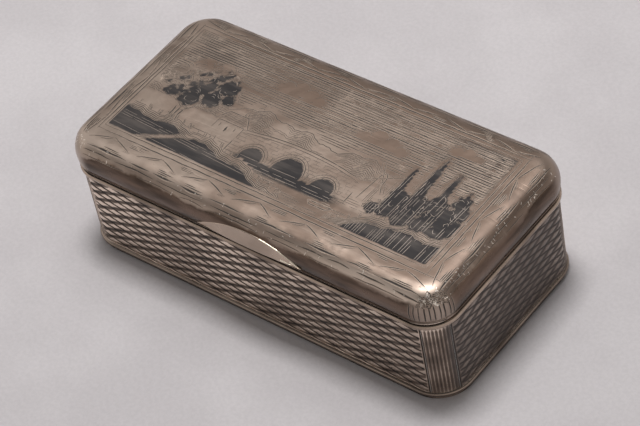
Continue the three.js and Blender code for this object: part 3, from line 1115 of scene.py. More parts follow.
@dataclass
class Mouldings:
    """The sections that run round the box's outline."""

    rim_proud: float = 0.42
    foot_proud: float = 0.5
    undercut: float = 0.45
    foot_extra: float = 0.5
    wire_proud: float = 0.22
    corner_steps: int = 22

    def __post_init__(self) -> None:
        """Builds the tree that sweeps a section round the outline."""
        self.tree = tree = ShapeTree("Moulding", {**self.sizes(0.0, 0.0), "Section": Piece})
        get = tree.get
        box = tree.node("GeometryNodeCurvePrimitiveQuadrilateral", {"Width": get("Length"), "Height": get("Depth")})
        corners = {"Curve": box, "Count": get("Corner steps"), "Radius": get("Corner radius")}
        rounded = tree.node("GeometryNodeFilletCurve", corners, mode="POLY")
        level = tree.node("GeometryNodeSetCurveNormal", {"Curve": rounded}, mode="Z_UP")
        swept = tree.node("GeometryNodeCurveToMesh", {"Curve": level, "Profile Curve": tree.object("Section")})
        tree.finish(tree.moved(swept, Translation=tree.join(y=get("Middle"))))

    def sizes(self, proudest: float, extra: float) -> dict[str, Any]:
        """Gives the path's sizes at the section's proudest place, with the corners' extra radius."""
        return {
            "Length": 2 * (OUTLINE.half_length + proudest), "Depth": 2 * (OUTLINE.half_depth + proudest),
            "Corner radius": OUTLINE.corner_radius + proudest + extra, "Corner steps": self.corner_steps,
            "Middle": OUTLINE.middle_y,
        }

    def sweep(self, name: str, material: Material, section: Section, extra: float = 0.0) -> Piece:
        """Sweeps a closed section round the outline.

        Args:
            name: The piece's name.
            material: Its material.
            section: The [offset, height] points.
            extra: How much wider the corners are where the section is proudest.

        Returns:
            The piece.
        """
        proudest = max(offset for offset, _ in section) if extra else 0.0
        curve = bpy.data.curves.new("section", "CURVE")
        spline = curve.splines.new("POLY")
        spline.points.add(len(section) - 1)
        for point, (offset, z) in zip(spline.points, section):
            point.co = (offset - proudest, -z, 0.0, 1.0)
        spline.use_cyclic_u = True
        helper = place_object("section", curve)
        piece = self.tree.make(name, material, {**self.sizes(proudest, extra), "Section": helper})
        discard(helper)
        return edit(piece)


@dataclass
class BoxBody:
    """The lower half: wall, mouldings, lip and base."""

    finishes: Finishes
    turning: EngineTurning
    corners: ReededCorners
    mouldings: Mouldings
    rim_neck: float = 0.4
    # Beyond this place along the box the seam gets no painted shade.
    shade_stops_at: float = 41.2
    lip_thickness: float = 0.7
    lip_rise: float = 1.4
    lip_drop: float = 4.5
    lip_lead_in: float = 0.35
    lip_bearer: float = 0.6
    base_round: float = 0.2

    def wall(self) -> list[Piece]:
        """Makes the flat faces and the reeded corners."""
        pieces = [self.turning.face(side, self.finishes) for side in Face]
        for turn, where in enumerate(("back_right", "back_left", "front_left", "front_right")):
            pieces.append(self.corners.corner(f"corner_{where}", turn, self.finishes))
        for piece in pieces:
            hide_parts("box_wall")
        return pieces

    def foot(self) -> Piece:
        """Makes the bead round the foot, with an undercut below it that is painted dark as shade.

        Returns:
            The piece.
        """
        low = self.mouldings.undercut
        half = (H.foot - low) / 2
        bead = arc(H.wall, low + half, self.mouldings.foot_proud, half, -62, 90, 14)
        section = [(H.wall - 0.4, 0.0), (H.wall + 0.1, 0.0), (H.wall + 0.08, low), *bead, (H.wall - 0.4, H.foot)]
        piece = self.mouldings.sweep("foot", self.finishes.foot, section, self.mouldings.foot_extra)
        # The undercut's faces get the painted shade that stands for the dark shadow under the bead.
        paint_faces(piece, self.finishes.grime, lambda at, normal: at.z < low + 0.1)
        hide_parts("foot_moulding")
        return smooth(piece, 40)

    def rim(self) -> Piece:
        """Makes the bead under the seam, cut back at the hinge.

        Returns:
            The piece.
        """
        half = (H.seam_bottom - self.rim_neck - H.rim) / 2
        bead = arc(H.wall, H.rim + half, self.mouldings.rim_proud, half, -90, 90, 14)
        section = [(H.wall - 0.3, H.rim), *bead, (H.wall - 0.02, H.seam_bottom), (H.wall - 0.3, H.seam_bottom)]
        piece = self.mouldings.sweep("rim", self.finishes.rim, section)
        # Painted shade: the rim's faces under the seam, all but at the right end, and its lowest faces, for the shadow
        # line under the bead.
        seam = H.seam_bottom - self.rim_neck - 0.04
        paint_faces(
            piece,
            self.finishes.grime,
            lambda at, normal: (at.z > seam and at.x < self.shade_stops_at) or at.z < H.rim + 0.1,
        )
        H.clear_hinge(piece, Leaf.BOX)
        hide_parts("rim_moulding")
        return smooth(piece, 40)

    def lip(self) -> Piece:
        """Makes the springy lip that the lid closes over, open at the hinge.

        Returns:
            The piece.
        """
        outer, inner = H.wall_inside, H.wall_inside - self.lip_thickness
        low, top, lead_in = H.seam - self.lip_drop, H.seam + self.lip_rise, self.lip_lead_in
        section = [(inner, low), (outer, low), (outer, top - lead_in), (outer - 0.05, top - 0.15)]
        section += [(outer - lead_in / 2, top), (inner, top)]
        piece = self.mouldings.sweep("lip", self.finishes.gilt, section)
        back = H.hinge_y - H.seat - self.lip_bearer - H.clearance
        beyond, above = back + 20, H.top + 4
        room = [(back, 0), (beyond, 0), (beyond, above), (back, above)]
        cut_away(piece, prism("back_cutter", room, -H.far_out, H.far_out))
        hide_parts("inner_bezel")
        return smooth(piece, 30)

    def base(self) -> Piece:
        """Makes the base plate, plain below and gilt inside.

        Returns:
            The piece.
        """
        r = self.base_round
        steps = ((H.wall - r, 0.0), (H.wall, r), (H.wall, H.base))
        piece = loft("base", [OUTLINE.solid_ring(offset, z) for offset, z in steps])
        piece.data.materials.append(self.finishes.silver)
        paint_faces(piece, self.finishes.gilt, lambda at, normal: normal.z > 0.9)
        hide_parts("base_plate")
        return smooth(piece, 30)

    def build(self) -> list[Piece]:
        """Builds and places the whole lower half."""
        pieces = [*self.wall(), self.foot(), self.rim(), self.lip(), self.base()]
        for piece in pieces:
            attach(piece, "box")
        return pieces


# The lid


@dataclass
class LidShell:
    """The lid's cover: upright sides, a round shoulder and an almost flat top."""

    foot_offset: float = 0.1
    bulge: float = 0.45
    straight: float = 22.0
    flat_from: float = -5.0
    turn_power: float = 3.2
    ceiling: float = 25.3
    inner_straight: float = 22.4
    inner_flat: float = -3.6
    sway: float = 0.045
    sink: float = 0.04
    side_steps: int = 8
    shoulder_steps: int = 28
    flat_steps: int = 8
    niello_from: float = 25.6
    shoulder_from: float = 23.0
    upright: tuple[float, float] = (38.0, 17.0)

    def outer_profile(self) -> list[tuple[float, float]]:
        """Gives the outside's section.

        Returns:
            The [offset, height] points from the edge wire up to the top.
        """
        middle = (H.wire_top + self.straight) / 2
        side = []
        for t in np.linspace(0, 1, self.side_steps + 1):
            offset = (1 - t) ** 2 * self.foot_offset + (2 * t * (1 - t) + t * t) * self.bulge
            z = (1 - t) ** 2 * H.wire_top + 2 * t * (1 - t) * middle + t * t * self.straight
            side.append((offset, z))
        runs = 1 - np.linspace(0, 1, self.shoulder_steps + 1)[1:] ** 2
        rises = np.sqrt(1 - runs**self.turn_power)
        offsets = self.flat_from + (self.bulge - self.flat_from) * runs
        return side + list(zip(offsets, self.straight + (H.top - self.straight) * rises))

    def height_at(self, x: Points, y: Points) -> Points:
        """Gives the height of the lid's top and shoulder over places on the plan."""
        offset = np.minimum(OUTLINE.offset_at(x, y), self.bulge - 0.02)
        run = np.clip((offset - self.flat_from) / (self.bulge - self.flat_from), 0, 1)
        return self.straight + (H.top - self.straight) * np.sqrt(1 - run**self.turn_power)

    def side_point(self, angle: float, z: float) -> tuple[float, float, float]:
        """Gives a place on the front right corner of the lid.

        Args:
            angle: Degrees from the front (0) to the right side (90).
            z: The height.

        Returns:
            The point.
        """
        if z < self.straight:
            drop = (self.straight - z) / (self.straight - H.wire_top)
            offset = self.foot_offset + (self.bulge - self.foot_offset) * (1 - drop**2)
        else:
            rise = np.clip((z - self.straight) / (H.top - self.straight), 0, 1)
            offset = self.flat_from + (self.bulge - self.flat_from) * (1 - rise**2) ** (1 / self.turn_power)
        radius = OUTLINE.corner_radius + offset
        turn, (cx, cy) = math.radians(angle), OUTLINE.centre
        return cx + radius * math.sin(turn), OUTLINE.middle_y - cy - radius * math.cos(turn), z

    def skin(self, profile: Section, top: float) -> tuple[Points, list[tuple[int, ...]]]:
        """Makes one skin of the lid, rings up the sides and a grid on top.

        Args:
            profile: The [offset, height] points up to the flat top.
            top: The height of the flat top.

        Returns:
            The points and the faces.
        """
        last = profile[-1][0]
        flat = [(offset, top) for offset in np.linspace(last, -OUTLINE.corner_radius, self.flat_steps + 1)[1:]]
        rings = [OUTLINE.solid_ring(offset, z) for offset, z in [*profile, *flat]]
        count, faces = len(rings[0]), []
        for i in range(len(rings) - 1):
            faces += ring_faces(i * count, (i + 1) * count, count)
        points, (cx, cy) = np.concatenate(rings), OUTLINE.centre
        xs, ys = np.linspace(-cx, cx, OUTLINE.long_steps + 1), np.linspace(-cy, cy, OUTLINE.short_steps + 1)
        grid = np.array([(x, y + OUTLINE.middle_y, top) for y in ys for x in xs])
        start, row = len(points), len(xs)
        for j in range(len(ys) - 1):
            for i in range(len(xs) - 1):
                a = start + j * row + i
                faces.append((a, a + 1, a + row + 1, a + row))
        return np.concatenate([points, grid]), faces

    def worn(self, points: Points) -> Points:
        """Gives the outside's points as use has left them, a little sunk and uneven.

        Args:
            points: The points.

        Returns:
            The points in their new places.
        """
        sunk = points.copy()
        for point in sunk:
            wide = noise.noise(Vector(point) / 13.0) + 0.5 * noise.noise(Vector(point) / 5.0 + Vector((9, 4, 2)))
            rise = min(max((point[2] - H.wire_top) / 1.5, 0), 1)
            sink = (self.sink + self.sway * max(0.5 + 0.5 * wide, 0.0)) * rise
            point[:2] -= sink * np.sign(point[:2]) * (np.abs(point[:2]) > self.upright)
            point[2] -= sink if point[2] > self.straight else 0.0
        return sunk

    def build(self, finishes: Finishes, niello: Tone) -> Piece:
        """Builds the cover.

        Args:
            finishes: The materials.
            niello: Tells how full of niello places on the top are, from 0 to 1.

        Returns:
            The piece.
        """
        outer, outer_faces = self.skin(self.outer_profile(), H.top)
        run, rise = H.lid_inside - self.inner_flat, self.ceiling - self.inner_straight
        hollow = arc(self.inner_flat, self.inner_straight, run, rise, 0, 90, 14)
        inner, inner_faces = self.skin([(H.lid_inside, H.wire_top), *hollow], self.ceiling)
        count = len(outer)
        faces = outer_faces + [tuple(count + i for i in reversed(face)) for face in inner_faces]
        faces += ring_faces(0, count, len(OUTLINE.ring(0.0)))
        piece = edit(plain_mesh("lid_cover", np.concatenate([self.worn(outer), inner]), faces))
        H.clear_hinge(piece, Leaf.LID)
        places = np.array([vert.co for vert in piece.data.vertices]) / MM
        fill = np.where(places[:, 2] > self.niello_from, niello(places[:, 0], places[:, 1]), 0.0)
        store(piece, "niello", fill)
        piece.data.materials.append(finishes.lid)

        def inside(at: Vector, normal: Vector) -> bool:
            """Tells which faces lie in the hollow."""
            deep = OUTLINE.offset_at(at.x, at.y) < H.lid_inside + 0.05 and H.wire_top < at.z < self.ceiling + 0.05
            return deep and not (at.z > self.shoulder_from and normal.z > 0.3)

        paint_faces(piece, finishes.gilt, inside)
        return smooth(piece, 40)


def split_runs(places: Points) -> list[Points]:
    """Splits rising indices into runs without gaps."""
    return np.split(places, np.flatnonzero(np.diff(places) > 1) + 1)


def soft(depth: Points, edge: float) -> Points:
    """Turns a depth into a share between 0 and 1 with a soft edge."""
    return np.clip(depth / edge + 0.5, 0, 1)


def heap(u: Points, v: Points, balls: Sequence[Ball]) -> tuple[Points, Points]:
    """Looks into a heap of balls.

    Args:
        u: Places across.
        v: Places up.
        balls: The balls, each with its centre and radius.

    Returns:
        How deep the places lie in the heap, and how far they are turned from the light.
    """
    deep, shade = np.full(np.shape(u), -99.0), np.zeros(np.shape(u))
    for a, b, radius in balls:
        depth = radius - np.hypot(u - a, v - b)
        turned = ((u - a) * 0.6 - (v - b) * 0.8) / radius
        shade = np.where(depth > deep, turned, shade)
        deep = np.maximum(deep, depth)
    return deep, shade


class StrokeBook:
    """Collects a graver's strokes, as lines of points with a width at each."""

    STEP = 0.35
    LEAST_TONE = 0.16
    FAINTEST = 0.03

    def __init__(self, seed: int) -> None:
        """Starts an empty book with a fixed seed."""
        self.random = random.Random(seed)
        self.strokes: list[tuple[Points, Points]] = []

    def line(self, points: Sequence[Sequence[float]], width: float) -> None:
        """Adds one stroke of one width."""
        self.strokes.append((np.array(points, float), np.full(len(points), width)))

    def swell(self, points: Points, width: float, thin: float = 0.12) -> None:
        """Adds a stroke that is broad in the middle and thin at its ends."""
        share = np.linspace(0, 1, len(points))
        self.strokes.append((np.array(points, float), thin + (width - thin) * np.sin(math.pi * share) ** 1.5))

    def shift(self, across: float, up: float) -> None:
        """Moves all flat strokes."""
        self.strokes = [(points + (across, up), widths) for points, widths in self.strokes]

    def spare(self, tone: Tone, limit: float) -> None:
        """Takes out the parts of strokes where a tone lies over a limit."""
        kept = []
        for points, widths in self.strokes:
            runs = split_runs(np.flatnonzero(tone(*points.T) < limit))
            kept += [(points[run], widths[run]) for run in runs if len(run) > 1]
        self.strokes = kept

    def rows(self, area: Area, angle: float, pitch: float, wave: float) -> list[Points]:
        """Lays parallel, slightly swaying paths over an area.

        Args:
            area: Its left, bottom, right and top.
            angle: The paths' direction, in degrees.
            pitch: The distance from path to path.
            wave: How far a path sways.

        Returns:
            The paths.
        """
        left, bottom, right, top = area
        middle = np.array([(left + right) / 2, (bottom + top) / 2])
        reach = math.hypot(right - left, top - bottom) / 2
        along = np.array([math.cos(math.radians(angle)), math.sin(math.radians(angle))])
        across = np.array([-along[1], along[0]])
        run = np.arange(-reach, reach, self.STEP)
        paths = []
        for row in np.arange(-reach, reach, pitch):
            shift = row + self.random.uniform(-0.1, 0.1) * pitch
            sway = wave * np.sin(run / self.random.uniform(5, 9) + self.random.uniform(0, 6))
            places = middle + run[:, None] * along + (shift + sway)[:, None] * across
            keep = np.all((places > (left, bottom)) & (places < (right, top)), axis=1)
            if keep.sum() > 2:
                paths.append(places[keep])
        return paths

    def shade(self, paths: Iterable[Points], tone: Tone, width: float, ragged: float, longest: int) -> None:
        """Cuts strokes along paths where a tone asks for them, broader where it is darker.

        Args:
            paths: Where the strokes may run.
            tone: The darkness wanted at places, from 0 to 1.
            width: The width at full tone.
            ragged: How unevenly the strokes end.
            longest: The most points that one stroke takes.
        """
        for path in paths:
            dark = tone(*path.T)
            needed = self.LEAST_TONE + self.random.uniform(-ragged, ragged)
            broad = width * (0.45 + 0.6 * np.clip(dark, 0, 1)) * self.random.uniform(0.85, 1.15)
            for run in split_runs(np.flatnonzero(dark > max(needed, self.FAINTEST))):
                while len(run) > 2:
                    count = self.random.randint(longest // 5 + 3, longest)
                    part, run = run[:count], run[count + self.random.randint(0, 2) :]
                    if len(part) > 2:
                        self.strokes.append((path[part], broad[part]))

    def hatch(
        self, area: Area, angle: float, pitch: float, tone: Tone, width: float, ragged: float,
        longest: int = 60, wave: float = 0.05,
    ) -> None:
        """Cuts parallel strokes over an area, where a tone asks for them.

        Args:
            area: Its left, bottom, right and top.
            angle: The strokes' direction, in degrees.
            pitch: The distance from stroke to stroke.
            tone: The darkness wanted at places, from 0 to 1.
            width: The width at full tone.
            ragged: How unevenly the strokes end.
            longest: The most points that one stroke takes.
            wave: How far a stroke sways.
        """
        self.shade(self.rows(area, angle, pitch, wave), tone, width, ragged, longest)

    def leaves(self, balls: Sequence[Ball], count: int, size: float, width: float) -> None:
        """Draws small curls of leaves over a heap of balls, most of them near the rims.

        Args:
            balls: The balls.
            count: How many curls.
            size: Their usual size.
            width: The strokes' width.
        """
        for _ in range(count):
            a, b, radius = self.random.choice(balls)
            turn, far = self.random.uniform(0, 2 * math.pi), radius * self.random.uniform(0.05, 1.04) ** 0.6
            s = size * self.random.uniform(0.7, 1.3)
            middle = math.degrees(turn)
            u, v = a + far * math.cos(turn), b + far * math.sin(turn)
            first = arc(u, v, s, s * 0.8, middle - 95, middle + 10, 4)
            u, v = u + s * math.cos(turn + 0.9), v + s * math.sin(turn + 0.9)
            second = arc(u, v, s * 0.8, s * 0.7, middle - 40, middle + 85, 4)
            self.line(first + second[1:], width)


@dataclass
class Engraver:
    """Lays strokes on the lid as shallow cut ribbons with a bright burr along one side."""

    shell: LidShell
    cover: Piece
    step: float = 0.5
    lift: float = 0.025
    wobble_size: float = 2.5
    hollow: float = 0.02

    def __post_init__(self) -> None:
        """Builds the tree that turns lines into ribbons on the cover."""
        self.tree = tree = ShapeTree("Graver strokes", {**self.sizes(0.05), "Cover": Piece})
        get, node = tree.get, tree.node
        cover = tree.in_mm(tree.object("Cover"))
        curves = node("GeometryNodeMeshToCurve", {"Mesh": tree.in_mm(get("Geometry"))})
        fine = node("GeometryNodeResampleCurve", {"Curve": curves, "Length": get("Step")}, mode="LENGTH")
        size = tree.math("DIVIDE", 1.0, get("Wobble size"))
        shaking = {"Vector": node("GeometryNodeInputPosition"), "Scale": size, "Detail": 1.0}
        jitter = tree.vector("SUBTRACT", node("ShaderNodeTexNoise", shaking, "Color"), (0.5, 0.5, 0.5))
        offset = tree.scaled(jitter, get("Wobble") * 2.0)
        shaken = node("GeometryNodeSetPosition", {"Geometry": fine, "Offset": offset})
        nearest = node("GeometryNodeProximity", {"Geometry": cover}, "Position", target_element="FACES")
        facing = {"Mesh": cover, "Value": node("GeometryNodeInputNormal", out="Normal")}
        normal = node("GeometryNodeSampleNearestSurface", facing, data_type="FLOAT_VECTOR")
        seat = tree.vector("ADD", nearest, tree.scaled(normal, get("Lift")))
        seated = node("GeometryNodeSetPosition", {"Geometry": shaken, "Position": seat})
        across = tree.vector("CROSS_PRODUCT", node("GeometryNodeInputTangent"), normal)
        level = node("GeometryNodeSetCurveNormal", {"Curve": seated, "Normal": across}, mode="FREE")
        place = node("GeometryNodeSplineParameter", out="Factor")
        taper = tree.ramp(tree.math("MINIMUM", place, 1.0 - place), -0.04, 0.16, 0.3, 1.0)
        width = node("GeometryNodeInputNamedAttribute", {"Name": "width"}, "Attribute")
        bow = {"Resolution": 3, "Middle": tree.join(y=get("Hollow") * 2.0)}
        ends = {"Start": (-0.5, 0.0, 0.0), "End": (0.75, 0.0, 0.0)}
        section = node("GeometryNodeCurveQuadraticBezier", {**bow, **ends})
        ink = tree.ramp(abs(node("GeometryNodeSplineParameter", out="Factor") - 0.45), 0.25, 0.5, 1.0, 0.0)
        inked = node("GeometryNodeStoreNamedAttribute", {"Geometry": section, "Name": "ink", "Value": ink})
        ribbon = {"Curve": level, "Profile Curve": inked, "Scale": width * taper}
        tree.finish(node("GeometryNodeCurveToMesh", ribbon))

    def sizes(self, wobble: float) -> dict[str, Any]:
        """Gives the tree's sizes, with how far the hand shakes."""
        return {
            "Step": self.step, "Wobble": wobble, "Wobble size": self.wobble_size, "Lift": self.lift,
            "Hollow": self.hollow,
        }

    def cut(self, name: str, book: StrokeBook, material: Material, wobble: float) -> Piece:
        """Lays a book's strokes on the cover.

        Args:
            name: The piece's name.
            book: The strokes.
            material: The strokes' material.
            wobble: How far the hand shakes.

        Returns:
            The piece.
        """
        points, edges, start = [], [], 0
        for stroke, _ in book.strokes:
            if stroke.shape[1] == 2:
                stroke = np.column_stack([stroke, self.shell.height_at(*stroke.T)])
            points.append(stroke)
            edges += [(i, i + 1) for i in range(start, start + len(stroke) - 1)]
            start += len(stroke)
        lines = plain_mesh(name, np.concatenate(points), edges=edges)
        store(lines, "width", np.concatenate([widths for _, widths in book.strokes]))
        piece = self.tree.make(name, material, {**self.sizes(wobble), "Cover": self.cover}, lines)
        piece.data.shade_smooth()
        return piece


@dataclass
class LidPicture:
    """A river view of the maker's own kind: bridge, mill, trees, hills and a ruled sky."""

    left: float = -36.6
    bottom: float = -13.55
    width: float = 72.2
    height: float = 28.9
    stroke_room: float = 0.4
    niello_room: float = 0.35
    horizon: float = 11.4
    bridge_middle: float = 37.0
    bridge_half: float = 13.5
    water: float = 6.0
    mill_middle: float = 53.2
    nowhere: float = -9.0
    arches: tuple[Ball, ...] = ((29.0, 2.7, 3.0), (37.0, 3.5, 4.3), (45.0, 2.7, 3.0))
    crown: tuple[Ball, ...] = (
        (7.4, 20.4, 2.9), (11.2, 21.2, 2.5), (4.0, 17.6, 2.4), (14.4, 18.6, 2.6), (9.4, 17.2, 3.3),
        (5.0, 13.8, 2.2), (13.4, 14.6, 2.3), (9.2, 13.2, 2.5), (16.4, 15.8, 1.7), (2.6, 15.4, 1.3),
    )
    bushes: tuple[Ball, ...] = (
        (55.6, 7.0, 1.5), (58.0, 8.0, 2.2), (61.6, 7.6, 2.5), (65.2, 8.2, 2.6), (68.8, 8.4, 2.8),
        (71.4, 10.0, 2.2), (70.2, 13.0, 2.0), (67.2, 11.6, 2.2), (58.4, 10.8, 2.3), (62.2, 11.2, 2.6),
        (65.2, 12.6, 2.3), (69.0, 15.2, 1.9),
    )
    poplar_sizes: tuple[tuple[float, float, float, float], ...] = (
        (56.8, 6.4, 13.2, 1.3), (60.4, 6.0, 17.6, 1.7), (64.6, 6.4, 15.4, 1.6), (68.6, 6.6, 12.0, 1.5),
    )
    clouds: tuple[Ball, ...] = (
        (24.0, 24.0, 1.5), (26.4, 24.7, 1.8), (29.2, 24.3, 1.5), (31.4, 23.7, 1.1), (44.0, 20.6, 1.3),
        (46.6, 21.4, 1.9), (49.6, 21.0, 1.7), (52.0, 20.4, 1.2), (61.0, 25.4, 1.1), (63.0, 25.8, 1.3),
        (65.2, 25.4, 1.0),
    )
    plain_lines: tuple[tuple[float, tuple[tuple[float, float], ...]], ...] = (
        (0.2, ((17.8, 9.0), (17.8, 11.4), (20.7, 11.4), (23.6, 11.4), (23.6, 9.0))),
        (0.24, ((17.0, 11.3), (18.6, 13.9), (22.8, 13.9), (24.4, 11.3))),
        (0.2, ((21.6, 13.9), (21.6, 15.0), (22.3, 15.0), (22.3, 13.9))),
        (0.5, ((18.8, 9.9), (18.8, 10.7))),
        (0.5, ((22.2, 9.9), (22.2, 10.7))),
        (0.6, ((20.5, 9.1), (20.5, 10.4))),
        (0.22, ((51.8, 7.4), (52.2, 11.0), (52.5, 14.0), (53.2, 14.9), (53.9, 14.0), (54.2, 11.0), (54.6, 7.4))),
        (0.26, ((9.9, 9.6), (11.6, 11.4), (12.8, 12.6))),
        (0.3, ((44.6, 3.0), (45.4, 2.3), (48.8, 2.3), (49.8, 3.1), (47.0, 2.95), (44.6, 3.0))),
        (0.18, ((47.0, 3.0), (47.0, 6.6), (49.2, 3.6), (47.2, 3.5))),
    )

    def area(self) -> Area:
        """Gives the room for strokes inside the frame."""
        room = self.stroke_room
        return room, room, self.width - room, self.height - room

    @staticmethod
    def skyline(u: Points) -> Points:
        """Gives the height of the far hills."""
        hills = 3.4 * np.exp(-(((u - 25) / 6.0) ** 2)) + 2.4 * np.exp(-(((u - 35) / 4.5) ** 2))
        return 13.6 + hills + 2.8 * np.exp(-(((u - 48) / 6.0) ** 2)) + 0.3 * np.sin(u * 1.3) + 0.12 * np.sin(u * 4.1)

    @staticmethod
    def left_bank(u: Points) -> Points:
        """Gives the height of the near bank on the left."""
        return 7.6 - 0.0058 * np.maximum(u - 6, 0) ** 2 + 0.35 * np.sin(u * 0.7) + 0.12 * np.sin(u * 2.3)

    @staticmethod
    def right_bank(u: Points) -> Points:
        """Gives the height of the near bank on the right."""
        return 6.6 - 0.024 * np.maximum(65 - u, 0) ** 2 + 0.3 * np.sin(u * 0.8) + 0.1 * np.sin(u * 2.9)

    def deck(self, u: Points) -> Points:
        """Gives the height of the bridge's parapet."""
        return 11.2 + 1.5 * (1 - ((u - self.bridge_middle) / self.bridge_half) ** 2)

    def in_frame(self, u: Points, v: Points) -> Points:
        """Tells which places lie inside the picture's frame."""
        room = self.niello_room
        return (u > room) & (u < self.width - room) & (v > room) & (v < self.height - room)

    def poplars(self, u: Points, v: Points) -> tuple[Points, Points]:
        """Tells how deep places lie in the poplars, and how far on their dark side."""
        deep, side = np.full(np.shape(u), self.nowhere), np.zeros(np.shape(u))
        for a, low, tall, broad in self.poplar_sizes:
            t = np.clip((v - low) / tall, 0.02, 1)
            lean = u - a - 0.5 * t**2
            ragged = 0.16 * np.sin(v * 6.0 + a + 2.0 * np.sin(u * 3.0)) + 0.1 * np.sin(v * 11.0 + u * 5.0)
            depth = broad * np.sin(math.pi * t**0.6) ** 0.75 - np.abs(lean) + ragged * (t > 0.1) - 3.0 * (v < low)
            side = np.where(depth > deep, lean / broad, side)
            deep = np.maximum(deep, depth)
        return deep, side

    def arch_depth(self, u: Points, v: Points) -> Points:
        """Tells how deep places lie in the bridge's openings."""
        depths = [wide * (1 - np.hypot((u - a) / wide, (v - self.water) / tall)) for a, wide, tall in self.arches]
        return np.where(v > self.water - 0.1, np.max(depths, axis=0), self.nowhere)

    def masonry(self, u: Points, v: Points) -> Points:
        """Tells which places lie on the bridge's stones."""
        body = (np.abs(u - self.bridge_middle) < self.bridge_half) & (v < self.deck(u)) & (v > self.water - 0.1)
        return body & (self.arch_depth(u, v) < 0)

    def cottage(self, u: Points, v: Points) -> Points:
        """Tells which places lie on the cottage."""
        walls = (u > 17.8) & (u < 23.6) & (v > 9.0) & (v < 11.4)
        roof = (v >= 11.4) & (v < 13.8) & (u > 17.2 + (v - 11.4) * 0.6) & (u < 24.2 - (v - 11.4) * 0.6)
        return walls | roof

    def covered(self, u: Points, v: Points) -> Points:
        """Tells which places stand in front of the sky, the hills and the water."""
        things = self.masonry(u, v) | (self.arch_depth(u, v) > 0) | self.cottage(u, v)
        trees = (heap(u, v, self.crown)[0] > 0) | (heap(u, v, self.bushes)[0] > 0) | (self.poplars(u, v)[0] > 0)
        mill = (np.abs(u - self.mill_middle) < 1.5 - (v - 8) * 0.1) & (v > 7) & (v < 14.2)
        return things | trees | mill

    def bank_depth(self, u: Points, v: Points) -> Points:
        """Tells how deep places lie in the near banks."""
        return np.maximum(self.left_bank(u) - v - 40.0 * (u > 46), self.right_bank(u) - v - 40.0 * (u < 44))

    def sky(self, u: Points, v: Points) -> Points:
        """Gives the tone of the sky."""
        streaks = np.sin(u * 0.19 + 1.6 * np.sin(v * 0.42) + 0.3 * v)
        tone = 0.5 + 0.24 * streaks + 0.45 * soft(u - 40, 36) * soft(v - 17, 8) + 0.24 * soft(v - 24, 6)
        puffs = heap(u, v, self.clouds)[0]
        low = soft(v - self.skyline(u) - 1.4, 2.2)
        return tone * low * (1 - soft(puffs + 0.1, 0.7)) * ~self.covered(u, v)

    def hills(self, u: Points, v: Points) -> Points:
        """Gives the tone of the hills."""
        tone = 0.42 + 0.35 * np.sin(u * 0.55 + 0.5 * v + np.sin(u * 0.21))
        return tone * (v < self.skyline(u)) * (v > self.horizon) * ~self.covered(u, v)

    def river(self, u: Points, v: Points) -> Points:
        """Gives the tone of the water."""
        ripple = 0.24 + 0.24 * np.sin(u * 0.4 + v * 2.2) + 0.2 * np.sin(u * 0.17 - v)
        below = 0.5 * soft(v - 4.4, 1.5) * (np.abs(u - self.bridge_middle) < self.bridge_half)
        bank = self.bank_depth(u, v)
        edge = 0.5 * soft(bank + 0.8, 0.8)
        return (ripple + below + edge) * (bank < -0.2) * (v < self.water + 1.6) * ~self.covered(u, v)

    def ground(self, u: Points, v: Points) -> Points:
        """Gives the tone of the near banks."""
        depth = self.bank_depth(u, v)
        left = soft(52 - u, 20) * (u < 46)
        right = soft(u - 49, 9) * (u >= 44)
        path = 1 - 0.8 * np.exp(-(((u - 14 - (v - 4) * 1.9) / 1.6) ** 2))
        return (0.25 + 0.8 * soft(depth - 0.9, 2.0)) * (depth > 0) * (left + right) * path

    def niello(self, x: Points, y: Points) -> Points:
        """Tells how full of niello places on the lid are.

        Args:
            x: Places along the box.
            y: Places across it.

        Returns:
            The fill, from 0 to 1.
        """
        u, v = np.asarray(x) - self.left, np.asarray(y) - self.bottom
        deep, shade = heap(u, v, self.crown)
        leafy = 0.3 * np.sin(2.3 * u + np.sin(1.9 * v)) * np.sin(2.6 * v + np.sin(2.2 * u))
        turned = 0.35 * shade + 0.075 * (u - 9.5) - 0.11 * (v - 17.0) + leafy
        fill = soft(deep - 0.25 + leafy, 0.8) * soft(turned + 0.22, 0.7)
        deep, shade = heap(u, v, self.bushes)
        fill = np.maximum(fill, soft(deep - 0.1 + leafy, 0.7) * soft(0.5 * shade + leafy + 0.55, 0.8))
        deep, side = self.poplars(u, v)
        fill = np.maximum(fill, soft(deep - 0.1, 0.6) * soft(side + 0.25, 0.7))
        bank = self.ground(u, v) * soft(self.bank_depth(u, v) - 1.5, 3.4) + leafy * 0.12
        fill = np.maximum(fill, soft(bank - 0.42, 0.8))
        fill = np.maximum(fill, 0.95 * soft(self.arch_depth(u, v) - 0.3, 0.6))
        near_bridge = soft(self.bridge_half - 1.5 - np.abs(u - self.bridge_middle), 4.0)
        mirrored = soft(v - 3.6, 1.2) * soft(6.2 - v, 0.8) * near_bridge
        fill = np.maximum(fill, 0.85 * mirrored * (self.bank_depth(u, v) < 0) * (self.arch_depth(u, v) < 0))
        fill = np.maximum(fill, 0.55 * soft(self.sky(u, v) - 1.0, 0.7))
        return fill * self.in_frame(u, v)

    def foliage(self, look: Callable, inset: float, edge: float, least: float, gain: float) -> Tone:
        """Gives the tone of leaves.

        Args:
            look: Tells how deep places lie in the leaves, and how far they are turned from the light.
            inset: How deep the tone starts.
            edge: How soft its edge is.
            least: The tone of places that face the light half.
            gain: How much darker the places get that are turned from it.

        Returns:
            The tone.
        """

        def tone(u: Points, v: Points) -> Points:
            """Gives the darkness of places."""
            deep, turned = look(u, v)
            return soft(deep - inset, edge) * (least + gain * turned)

        return tone

